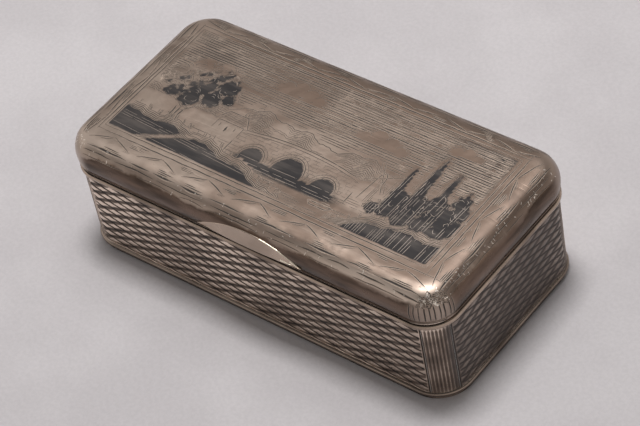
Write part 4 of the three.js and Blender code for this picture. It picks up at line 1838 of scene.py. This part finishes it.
    def strokes(self) -> StrokeBook:
        """Draws the dark strokes of the picture.

        Returns:
            The strokes.
        """
        book, area = StrokeBook(11), self.area()
        book.hatch(area, 0, 0.57, self.sky, 0.36, 0.12, 90)
        book.hatch(area, 0.4, 0.57, lambda u, v: self.sky(u, v) - 0.55, 0.24, 0.1, wave=0.1)
        across = np.arange(0.5, self.width - 0.5, book.STEP)
        contours = [np.column_stack([across, self.skyline(across) - 0.42 * k]) for k in range(1, 16)]
        book.shade(contours, self.hills, 0.2, 0.2, 24)
        book.hatch(area, 52, 0.6, lambda u, v: self.hills(u, v) - 0.35, 0.16, 0.1, 14)
        book.hatch(area, 0, 0.52, self.river, 0.2, 0.14, 16, 0.03)
        for bank, low, high in ((self.left_bank, 0.5, 46.0), (self.right_bank, 46.0, self.width - 0.5)):
            part = across[(across > low) & (across < high)]
            sags = [0.36 * k + 0.02 * k * np.sin(part / 3) for k in range(22)]
            contours = [np.column_stack([part, bank(part) - sag]) for sag in sags]
            book.shade([line[line[:, 1] > 0.4] for line in contours], self.ground, 0.26, 0.16, 40)
        crown = self.foliage(lambda u, v: heap(u, v, self.crown), 0.3, 0.8, 0.3, 0.6)
        book.hatch(area, 38, 0.55, crown, 0.24, 0.15, 9)
        book.leaves(self.crown, 260, 0.42, 0.19)
        book.hatch(area, 84, 0.42, self.foliage(self.poplars, 0.1, 0.4, 0.55, 0.4), 0.24, 0.2, 11)
        bushes = self.foliage(lambda u, v: heap(u, v, self.bushes), 0.2, 0.6, 0.45, 0.5)
        book.hatch(area, 60, 0.5, bushes, 0.24, 0.2, 9)
        book.leaves(self.bushes, 110, 0.4, 0.19)
        book.hatch(area, 0, 0.42, lambda u, v: 0.9 * (self.arch_depth(u, v) > 0.1), 0.24, 0.1, wave=0.02)
        book.hatch(
            area, 0, 0.8, lambda u, v: 0.32 * self.masonry(u, v) * (v < self.deck(u) - 0.7), 0.14, 0.12, 9, 0.0
        )
        book.hatch(area, 58, 0.42, lambda u, v: 0.7 * self.cottage(u, v) * (v > 11.5), 0.18, 0.1, wave=0.02)
        self.stonework(book)
        self.scenery(book)
        book.spare(lambda u, v: self.niello(u + self.left, v + self.bottom), 0.82)
        book.shift(self.left, self.bottom)
        return book

    def stonework(self, book: StrokeBook) -> None:
        """Draws the bridge's edges, arch stones and joints."""
        left, right, water = self.bridge_middle - self.bridge_half, self.bridge_middle + self.bridge_half, self.water
        part = np.arange(left, right, 0.5)
        for drop, width in ((0.0, 0.26), (0.65, 0.18)):
            book.line(np.column_stack([part, self.deck(part) - drop]), width)
        for a, wide, tall in self.arches:
            book.line(arc(a, water, wide, tall, 180, 0, 20), 0.22)
            book.line(arc(a, water, wide + 0.6, tall + 0.6, 176, 4, 20), 0.13)
            for angle in range(12, 170, 13):
                c, s = math.cos(math.radians(angle)), math.sin(math.radians(angle))
                book.line([(a + (wide + g) * c, water + (tall + g) * s) for g in (0.05, 0.3, 0.6)], 0.12)
        for row in range(8):
            v = water + 0.4 + 0.8 * row
            for i in range(18):
                u = left + 1.5 * i + 0.75 * (row % 2) + book.random.uniform(-0.2, 0.2)
                spots = np.array([u, u]), np.array([v, v + 0.7])
                if self.masonry(*spots).all() and v + 0.7 < self.deck(u) - 0.6:
                    book.line([(u, v), (u, v + 0.35), (u, v + 0.7)], 0.11)
        for u in (left, 32.9, 41.1, right):
            book.line([(u, water - 0.7), (u, water + 0.8), (u, water + 2.2)], 0.24)

    def scenery(self, book: StrokeBook) -> None:
        """Draws the hills' edge, the cottage, the mill, the trunks, the boat, the clouds and the grass."""
        for low, high in ((17.5, 55.0), (70.5, 71.8)):
            part = np.arange(low, high, book.STEP)
            open_air = [p for p in np.column_stack([part, self.skyline(part)]) if not self.covered(*p)]
            if len(open_air) > 3:
                book.line(open_air, 0.2)
        for width, points in self.plain_lines:
            book.line(points, width)
        for k in range(3):
            book.line(arc(22.6 + 0.8 * k, 15.8 + k, 0.8, 0.5, 200, -20 + 30 * k, 7), 0.13)
        middle = self.mill_middle

        def mill_tone(u: Points, v: Points) -> Points:
            """Gives the tone of the mill's dark side."""
            inside = np.abs(u - middle) < 1.3 - (v - 8) * 0.1
            return 0.55 * inside * (v > 7) * (v < 13.8) * (u > middle - 0.1)

        book.hatch((51, 7, 56, 14), 88, 0.34, mill_tone, 0.18, 0.1)
        hub = np.array((middle, 13.6))
        for angle in (28, 118, 208, 298):
            c, s = math.cos(math.radians(angle)), math.sin(math.radians(angle))
            out, aside = np.array((c, s)), 0.6 * np.array((-s, c))
            book.line([hub, hub + 4.0 * out], 0.2)
            book.line([hub + 1.2 * out + aside, hub + 4.0 * out + aside], 0.14)
            for far in np.arange(1.4, 4.1, 0.5):
                book.line([hub + far * out, hub + far * out + aside], 0.1)
        for u, lean in ((8.8, -0.5), (9.5, 0.1), (10.2, 0.6)):
            book.line([(u + lean, 6.6), (u, 8.4), (u + lean * 0.4, 10.2), (u + lean, 12.0)], 0.36)
        bird = ((-0.8, 0.3), (-0.3, 0.35), (0.0, 0.0), (0.35, 0.4), (0.9, 0.45))
        for spot in ((34.0, 19.5), (36.2, 20.4), (38.0, 19.0), (56.0, 23.2)):
            book.line(np.array(bird) + spot, 0.16)
        for a, b, radius in self.clouds:
            book.line(arc(a, b, radius, radius, 165, 25, 9), 0.14)
        for _ in range(120):
            u = book.random.uniform(0.8, self.width - 0.8)
            bank = float(self.left_bank(u) if u < 44 else self.right_bank(u))
            if bank > 0.8 and not 40 < u < 47:
                lean = book.random.uniform(-0.5, 0.5)
                book.line([(u, bank - 0.5), (u + lean * 0.4, bank + 0.25), (u + lean, bank + 0.8)], 0.17)

    def glints(self) -> StrokeBook:
        """Draws the bright hairlines left standing in the niello.

        Returns:
            The strokes.
        """
        book, leaves, area = StrokeBook(23), StrokeBook(29), self.area()

        def dark(u: Points, v: Points) -> Points:
            """Tells which places are well inside the niello."""
            return 1.0 * (self.niello(u + self.left, v + self.bottom) > 0.6)

        def bank(u: Points, v: Points) -> Points:
            """Gives the faint tone of the near bank on the left."""
            return 0.17 * dark(u, v) * (u < 46) * (self.bank_depth(u, v) > 0.4)

        def water(u: Points, v: Points) -> Points:
            """Gives the faint tone of the dark water."""
            return 0.2 * dark(u, v) * (self.bank_depth(u, v) < 0) * (v < 6.4)

        leaves.leaves(self.crown + self.bushes, 90, 0.36, 0.09)
        book.strokes += [stroke for stroke in leaves.strokes if dark(*stroke[0].T).mean() > 0.7]
        book.hatch(area, 88, 0.52, lambda u, v: 0.2 * dark(u, v) * (u > 54) * (v < 17), 0.12, 0.25, 22)
        book.hatch(area, -3, 0.55, bank, 0.11, 0.3, 34)
        book.hatch(area, 0, 0.6, water, 0.11, 0.25, 20)
        book.shift(self.left, self.bottom)
        return book


@dataclass
class LidBorder:
    """The border round the picture: frame lines, shallow arches, swelling dashes and a fluted front right corner."""

    frame: Area = (-37.3, -14.65, 36.6, 16.25)
    inner: Area = (-36.6, -13.55, 35.6, 15.35)
    outer: Area = (-39.4, -18.75, 40.3, 18.75)
    period: float = 11.6
    top: float = 25.9

    def sides(self, area: Area) -> list[tuple[Points, Points]]:
        """Gives the four sides of an area.

        Args:
            area: Its left, bottom, right and top.

        Returns:
            Each side's start and end.
        """
        left, bottom, right, top = area
        corners = [np.array(p) for p in ((left, bottom), (right, bottom), (right, top), (left, top))]
        return [(corners[i], corners[(i + 1) % 4]) for i in range(4)]

    def strokes(self, shell: LidShell) -> StrokeBook:
        """Draws the border's strokes.

        Args:
            shell: The lid's shape.

        Returns:
            The strokes.
        """
        book = StrokeBook(5)
        left, bottom, right, top = self.frame
        book.line([(left - 0.3, bottom), (0, bottom + 0.05), (right + 3.0, bottom - 0.1)], 0.34)
        book.line([(right, bottom - 0.4), (right + 0.05, top + 1.4)], 0.32)
        book.line([(right + 0.2, top), (0, top - 0.05), (left - 0.2, top)], 0.34)
        book.line([(left, top + 0.3), (left, bottom - 0.4)], 0.30)
        for start, end in self.sides(self.inner):
            book.line([start, (start + end) / 2, end], 0.26)
        for (start, end), (frame_start, _) in zip(self.sides(self.outer), self.sides(self.frame)):
            length = float(np.hypot(*(end - start)))
            along = (end - start) / length
            inward = np.array([-along[1], along[0]])
            band = float(abs(np.dot(frame_start - start, inward)))

            def spot(run: float, rise: float) -> Points:
                """Gives a place on this side of the border."""
                return start + along * run + inward * rise

            self.dashes(book, spot, length)
            self.arches(book, spot, length, band)
        self.corner(book, shell)
        return book

    def dashes(self, book: StrokeBook, spot: Callable[[float, float], Points], length: float) -> None:
        """Draws the outer line's swelling dashes, some of them in bundles.

        Args:
            book: The strokes.
            spot: Gives a place from the run along the side and the rise towards the picture.
            length: The side's length.
        """
        shares = np.linspace(0, 1, 12)
        for rise, widest in ((0.0, 0.62), (-0.85, 0.36), (-1.5, 0.24)):
            place = 1.5 + book.random.uniform(0, 2)
            while place < length - 4:
                run = min(book.random.uniform(4.5, 11.0), length - 1.5 - place)
                bow = book.random.uniform(-0.12, 0.2)
                wide = widest * book.random.uniform(0.5, 1.0)
                book.swell([spot(place + run * t, rise + bow * math.sin(math.pi * t)) for t in shares], wide)
                if rise == 0.0 and book.random.random() < 0.8:
                    first = place + run * book.random.uniform(0.05, 0.4)
                    for k in range(1, book.random.randint(3, 5)):
                        size = book.random.uniform(2.6, 5.4) * (1 - 0.12 * k)
                        book.swell([spot(first + size * t, 0.33 * k + 0.06) for t in shares], 0.28)
                place += run + book.random.uniform(0.5, 3.0 if rise else 1.4)

    def arches(
        self, book: StrokeBook, spot: Callable[[float, float], Points], length: float, band: float
    ) -> None:
        """Draws the row of shallow pointed arches with small hatches between them.

        Args:
            book: The strokes.
            spot: Gives a place from the run along the side and the rise towards the picture.
            length: The side's length.
            band: The border's width.
        """
        count = max(round((length - 3) / self.period), 2)
        period = (length - 3) / count
        low, high = band * 0.38, band * 0.82
        shares = np.linspace(0, 1, 9)
        for i in range(count):
            start = 1.5 + period * i
            peak = start + period * book.random.uniform(0.46, 0.56)
            first, last = start + book.random.uniform(0.2, 1.2), start + period - book.random.uniform(0.0, 1.0)
            tip = high + book.random.uniform(-0.2, 0.1)
            rising = [spot(first + (peak + 0.4 - first) * t, low + (tip - low) * (t**0.8)) for t in shares]
            falling = [spot(peak - 0.3 + (last - peak) * t, tip - (tip - low) * (t**1.3)) for t in shares]
            book.swell(rising, 0.32, 0.14)
            book.swell(falling, 0.32, 0.14)
            book.line([spot(peak - 2.4, low + 0.55), spot(peak - 1.2, low + 0.8), spot(peak - 0.2, tip - 0.45)], 0.16)
            for k in range(book.random.randint(2, 4)):
                size = book.random.uniform(1.6, 3.4)
                middle = start + book.random.uniform(-0.8, 0.8)
                if 2.5 < middle < length - 2.5:
                    book.line([spot(middle + half, band - 0.5 - 0.3 * k) for half in (-size / 2, size / 2)], 0.24)
            for k in range(5):
                book.line([spot(last - 1.4 + 0.3 * k, low - 0.35), spot(last - 1.2 + 0.3 * k, low + 0.1)], 0.17)

    def curls(
        self, book: StrokeBook, shell: LidShell, count: int, angles: tuple[float, float],
        heights: tuple[float, float], sizes: tuple[float, float], turns: Sequence[float], width: float,
    ) -> None:
        """Scatters small curls over the front right corner.

        Args:
            book: The strokes.
            shell: The lid's shape.
            count: How many curls.
            angles: Where they lie round the corner, from and to, in degrees.
            heights: Their lowest and highest place.
            sizes: Their smallest and largest size.
            turns: The angles of a curl's points, in radians.
            width: The strokes' width.
        """
        for _ in range(count):
            angle, z, size = (book.random.uniform(*limits) for limits in (angles, heights, sizes))
            turn = book.random.uniform(0, 6)
            curl = [(angle + 9 * size * math.cos(turn + t), z + size * math.sin(turn + t)) for t in turns]
            book.line([shell.side_point(a, min(height, self.top)) for a, height in curl], width)

    def nicks(self, shell: LidShell) -> StrokeBook:
        """Scatters painted glints of dents on the shoulder, most at the front left corner, and of curls at the front
        right.

        Args:
            shell: The lid's shape.

        Returns:
            The strokes.
        """
        book = StrokeBook(41)
        for k in range(150):
            side = book.random.random()
            if k < 40:
                x, y = -41.6 + abs(book.random.gauss(0, 2.2)), -20.0 + abs(book.random.gauss(0, 2.4))
            elif side < 0.5:
                x, y = book.random.uniform(-38, 39), -20.3 + abs(book.random.gauss(0, 0.9))
            else:
                x, y = 41.7 - abs(book.random.gauss(0, 0.9)), book.random.uniform(-18, 17)
            if float(OUTLINE.offset_at(np.array(x), np.array(y))) > 0.1:
                continue
            turn, half = book.random.uniform(0, math.pi), book.random.uniform(0.06, 0.24)
            dx, dy = half * math.cos(turn), half * math.sin(turn)
            book.line([(x - dx, y - dy), (x, y), (x + dx, y + dy)], book.random.uniform(0.12, 0.26))
        self.curls(book, shell, 34, (22, 72), (23.9, 25.3), (0.2, 0.5), (0, 0.9, 1.8, 2.7), 0.17)
        return book

    def corner(self, book: StrokeBook, shell: LidShell) -> None:
        """Draws the flutes and the scrolls on the front right corner."""
        for turn in range(10):
            angle = 8 + turn * 8.0 + book.random.uniform(-1.2, 1.2)
            high = 23.9 + book.random.uniform(-0.3, 0.3)
            book.line([shell.side_point(angle, z) for z in np.linspace(20.4, high, 6)], book.random.uniform(0.24, 0.36))
        for angle, z, size in ((34, 24.55, 1.0), (50, 24.75, 0.9), (64, 24.5, 0.7)):
            curl = []
            for i in range(14):
                t = i / 13 * 4.6
                shrink = size * (1 - i / 18)
                height = min(z + 0.6 * shrink * math.sin(t), self.top)
                curl.append(shell.side_point(angle + 9.5 * shrink * math.cos(t), height))
            book.line(curl, 0.26)
        self.curls(book, shell, 46, (20, 74), (23.9, 25.2), (0.25, 0.6), (0, 0.8, 1.6, 2.4, 3.2), 0.3)
        for k in range(9):
            angle = 18 + k * 6.6
            book.line([shell.side_point(angle, 23.75), shell.side_point(angle + 2.5, 24.15)], 0.24)


@dataclass
class Lid:
    """The upper half: cover, edge wire, thumbpiece and engraving."""

    finishes: Finishes
    mouldings: Mouldings
    shell: LidShell = field(default_factory=LidShell)
    thumb_length: float = 23.4
    thumb_shift: float = 1.8
    thumb_bottom: float = 20.7
    thumb_top: float = 23.8
    thumb_reach: float = 1.1
    thumb_top_reach: float = 0.35
    thumb_edge: float = 0.34
    highlight_shift: float = 2.9
    # Beyond this place along the box the seam gets no painted shade.
    shade_stops_at: float = 41.6

    def cover(self, picture: LidPicture) -> Piece:
        """Makes the cover."""
        piece = self.shell.build(self.finishes, picture.niello)
        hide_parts("lid_frame", "lid_panel")
        return piece

    def edge_wire(self) -> Piece:
        """Makes the thin fillet along the lid's lower edge.

        Returns:
            The piece.
        """
        half = (H.wire_top - H.seam_top) / 2
        bead = arc(0, H.seam_top + half, self.mouldings.wire_proud, half, -90, 90, 10)
        section = [(H.lid_inside, H.seam_top), *bead, (H.lid_inside, H.wire_top)]
        piece = H.clear_hinge(self.mouldings.sweep("edge_wire", self.finishes.lid, section), Leaf.LID)

        def in_seam_shade(at: Vector, normal: Vector) -> bool:
            """Tells which faces lie in the seam and get its painted shade, all but at the right end."""
            return at.z < H.seam_top + 0.28 and at.x < self.shade_stops_at and OUTLINE.offset_at(at.x, at.y) > -0.12

        paint_faces(piece, self.finishes.grime, in_seam_shade)
        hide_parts("lid_edge_wire")
        return smooth(piece, 40)

    def thumbpiece(self) -> Piece:
        """Makes the crescent lip on the front of the lid, with a rounded edge.

        Returns:
            The piece.
        """
        front, height = OUTLINE.middle_y - OUTLINE.half_depth, self.thumb_top - self.thumb_bottom
        root = front - self.shell.bulge + 0.35
        rings = []
        for t in np.linspace(-1, 1, 61):
            swell = max(1 - t * t, 0.0)
            tip = front - self.shell.bulge - 0.1 - (self.thumb_reach - self.shell.bulge - 0.1) * swell
            rise = max(height * swell, 0.06)
            share = rise / height
            upper = tip + (self.thumb_reach - self.thumb_top_reach) * share * 0.92
            upper = min(upper, front - self.thumb_top_reach + 0.12)
            edge = self.thumb_edge * min(swell * 3 + 0.05, 1)
            low, high = self.thumb_bottom, self.thumb_bottom + rise
            section = [(root, low), (tip + edge * 0.6, low), (tip + edge * 0.15, low + edge * 0.25), (tip, low + edge)]
            section += [(tip + (upper - tip) * up, low + rise * up) for up in (0.33, 0.66)]
            section += arc(upper + edge * 0.5, high - edge * 0.5, -edge * 0.5, edge * 0.5, -10, 120, 7)
            section.append((root + 0.35 * share, high - edge))
            x = self.thumb_shift + self.thumb_length / 2 * t
            rings.append(np.array([(x, y, z) for y, z in section]))
        piece = loft("thumb_lip", rings)
        piece.data.materials.append(self.finishes.silver)
        # Painted highlight: the up-facing faces of the right half's top edge get a near-white finish.
        highlight_from = self.thumb_shift + self.highlight_shift
        paint_faces(piece, self.finishes.edge, lambda at, normal: normal.z > 0.45 and at.x > highlight_from)
        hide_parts("thumbpiece")
        return smooth(piece, 42)

    def build(self) -> list[Piece]:
        """Builds and places the whole lid.

        Returns:
            The pieces.
        """
        picture, border = LidPicture(), LidBorder()
        cover = self.cover(picture)
        engraver = Engraver(self.shell, cover)
        pieces = [
            cover,
            self.edge_wire(),
            self.thumbpiece(),
            engraver.cut("picture_strokes", picture.strokes(), self.finishes.line, 0.06),
            engraver.cut("picture_glints", picture.glints(), self.finishes.bright_line, 0.03),
            engraver.cut("border_strokes", border.strokes(self.shell), self.finishes.line, 0.12),
            engraver.cut("nicks", border.nicks(self.shell), self.finishes.dent_glint, 0.03),
        ]
        for piece in pieces:
            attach(piece, "lid")
        for piece in pieces[3:]:
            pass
        return pieces


# The hinge


@dataclass
class Hinge:
    """The knuckles of the integral hinge, and the pieces that stay as they were packed."""

    finishes: Finishes
    bore: float = 0.7
    foot_top: float = 0.3
    lid_reach: float = 1.0
    edge_round: float = 0.1
    sides: int = 56

    def __post_init__(self) -> None:
        """Builds the tree that sets equal knuckles in a row."""
        self.tree = tree = ShapeTree("Knuckle row", {"Count": 5, "First": -31.0, "Pitch": 15.8, "Knuckle": Piece})
        first, pitch = tree.join(tree.get("First")), tree.join(tree.get("Pitch"))
        places = {"Count": tree.get("Count"), "Start Location": first, "Offset": pitch}
        row, one = tree.node("GeometryNodeMeshLine", places), tree.in_mm(tree.object("Knuckle"))
        tree.finish(tree.node("GeometryNodeInstanceOnPoints", {"Points": row, "Instance": one}))

    def radius_at(self, leaf: Leaf, angle: float) -> float:
        """Gives how far a knuckle reaches from the hinge axis in one direction.

        Args:
            leaf: Which half the knuckle belongs to.
            angle: The direction, in radians from straight back.

        Returns:
            The reach.
        """
        back, up = math.cos(angle), math.sin(angle) * leaf.value
        wall_back = OUTLINE.middle_y + OUTLINE.half_depth + H.wall
        reach = {Leaf.BOX: wall_back - H.hinge_y, Leaf.LID: self.lid_reach}[leaf]
        best = H.knuckle
        if up <= 0:
            return best
        to_seat = H.seat / up
        if -H.seat <= back * to_seat <= reach:
            best = max(best, to_seat)
        if back < 0:
            to_side = H.seat / -back
            if self.foot_top <= up * to_side <= H.seat:
                best = max(best, to_side)
        elif back > 0:
            to_side = reach / back
            if math.sqrt(max(H.knuckle**2 - reach**2, 0)) <= up * to_side <= H.seat:
                best = max(best, to_side)
        return best

    def row(self, leaf: Leaf) -> Piece:
        """Makes all the knuckles of one half as one piece.

        Args:
            leaf: Which half.

        Returns:
            The piece.
        """
        body = leaf.name.lower()
        names = sorted(name for name in frame["nodes"] if name.startswith(f"{body}_knuckle_"))
        boxes = [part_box(name) for name in names]
        starts = [low.x / MM for low, _ in boxes]
        length = boxes[0][1].x / MM - starts[0]
        angles = np.linspace(0, 2 * math.pi, self.sides, endpoint=False)
        reaches = np.array([self.radius_at(leaf, angle) for angle in angles])
        edge, bore = self.edge_round, np.full(self.sides, self.bore)
        rings = []
        for x, radii in (
            (0.0, reaches - edge), (edge, reaches), (length - edge, reaches), (length, reaches - edge),
            (length, bore), (0.0, bore),
        ):
            y, z = H.hinge_y + radii * np.cos(angles), H.seam + radii * np.sin(angles)
            rings.append(np.column_stack([np.full(self.sides, x), y, z]))
        one = loft("one_knuckle", rings, closed=True)
        values = {"Count": len(names), "First": starts[0], "Pitch": starts[1] - starts[0], "Knuckle": one}
        piece = self.tree.make(f"{body}_knuckles", self.finishes.silver, values)
        discard(one)
        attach(piece, body)
        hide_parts(*names)
        return smooth(piece, 30)

    def build(self) -> list[Piece]:
        """Builds both rows and dresses the pieces that stay.

        Returns:
            The rows.
        """
        for name, finish in (
            ("hinge_pin", self.finishes.wire),
            ("hinge_plug_left", self.finishes.silver),
            ("hinge_plug_right", self.finishes.silver),
            ("box_hinge_bearer", self.finishes.gilt),
            ("lid_hinge_bearer", self.finishes.gilt),
        ):
            mesh = frame["nodes"][name].data
            mesh.materials.clear()
            mesh.materials.append(finish)
        return [self.row(leaf) for leaf in Leaf]


# The studio


@dataclass
class Studio:
    """The pale floor, the soft light and the camera at the photograph's place."""

    lens: float = 148.07
    camera_at: Place = (243.1, -236.45, 346.83)
    right: Place = (0.78597, 0.6007, -0.14631)
    down: Place = (0.35169, -0.62902, -0.69329)
    ahead: Place = (-0.50849, 0.49345, -0.70565)
    floor_half: float = 1500.0
    sides: Colour = (0.75, 0.70, 0.66)
    above: Colour = (0.12, 0.12, 0.12)

    def floor(self) -> None:
        """Makes the floor."""
        f = self.floor_half
        piece = plain_mesh("floor", [(-f, -f, 0), (f, -f, 0), (f, f, 0), (-f, f, 0)], [(0, 1, 2, 3)])
        piece.data.materials.append(Paper().build())

    def camera(self) -> None:
        """Makes the camera."""
        data = bpy.data.cameras.new("camera")
        data.lens = self.lens
        data.sensor_width = 36.0
        data.clip_start, data.clip_end = 0.01, 20.0
        camera = place_object("camera", data)
        axes = Matrix((self.right, [-c for c in self.down], [-c for c in self.ahead])).transposed()
        camera.matrix_world = Matrix.Translation(Vector(self.camera_at) * MM) @ axes.to_4x4()
        bpy.context.scene.camera = camera

    def lamp(
        self, name: str, at: Place, size: tuple[float, float], power: float, colour: Colour, aim: Place | None
    ) -> None:
        """Adds a soft panel of light.

        Args:
            name: The lamp's name.
            at: Its place, in millimetres.
            size: Its width and height, in millimetres.
            power: Its power in watts.
            colour: Its colour.
            aim: The direction that it faces, or None to face the box.
        """
        light = bpy.data.lights.new(name, "AREA")
        light.shape = "RECTANGLE"
        light.size, light.size_y = size[0] * MM, size[1] * MM
        light.energy = power
        light.color = colour
        lamp = place_object(name, light)
        lamp.location = Vector(at) * MM
        lamp.rotation_mode = "QUATERNION"
        lamp.rotation_quaternion = (Vector(aim) if aim else -Vector(at)).to_track_quat("-Z", "Y")

    def world(self) -> None:
        """Makes the dim surroundings."""
        world = bpy.data.worlds.new("studio")
        bpy.context.scene.world = world
        world.use_nodes = True
        world.node_tree.nodes.clear()
        writer = NodeWriter(world.node_tree)
        up = writer.split(writer.node("ShaderNodeTexCoord", out="Generated"))[2]
        colour = writer.layers(self.sides, (writer.ramp(up, 0.1, 0.75), self.above))
        background = writer.node("ShaderNodeBackground", {"Color": colour, "Strength": 1.0})
        writer.node("ShaderNodeOutputWorld", {"Surface": background})

    def build(self) -> None:
        """Builds the studio."""
        self.floor()
        self.camera()
        self.world()
        straight_down, at_box = (0.0, 0.0, -1.0), None
        self.lamp("overhead", (-42, 68, 594), (170, 130), 2.2, (1.0, 0.985, 0.975), straight_down)
        self.lamp("overhead_back", (-60, 230, 550), (330, 250), 0.65, (1.0, 0.985, 0.98), straight_down)
        self.lamp("left", (-480, -60, 370), (420, 420), 0.3, (1.0, 0.98, 0.97), at_box)
        bpy.context.scene.view_settings.view_transform = "Standard"


def main() -> None:
    """Builds the box's looks and the studio, in order."""
    logging.basicConfig(level=logging.INFO, format="%(message)s")
    finishes = Finishes()
    mouldings = Mouldings()
    built = BoxBody(finishes, EngineTurning(), ReededCorners(), mouldings).build()
    built += Lid(finishes, mouldings).build()
    built += Hinge(finishes).build()
    for piece in built:
        LOG.info("%s: %d faces", piece.name, len(piece.data.polygons))
    Studio().build()


if __name__ == "__main__":
    main()
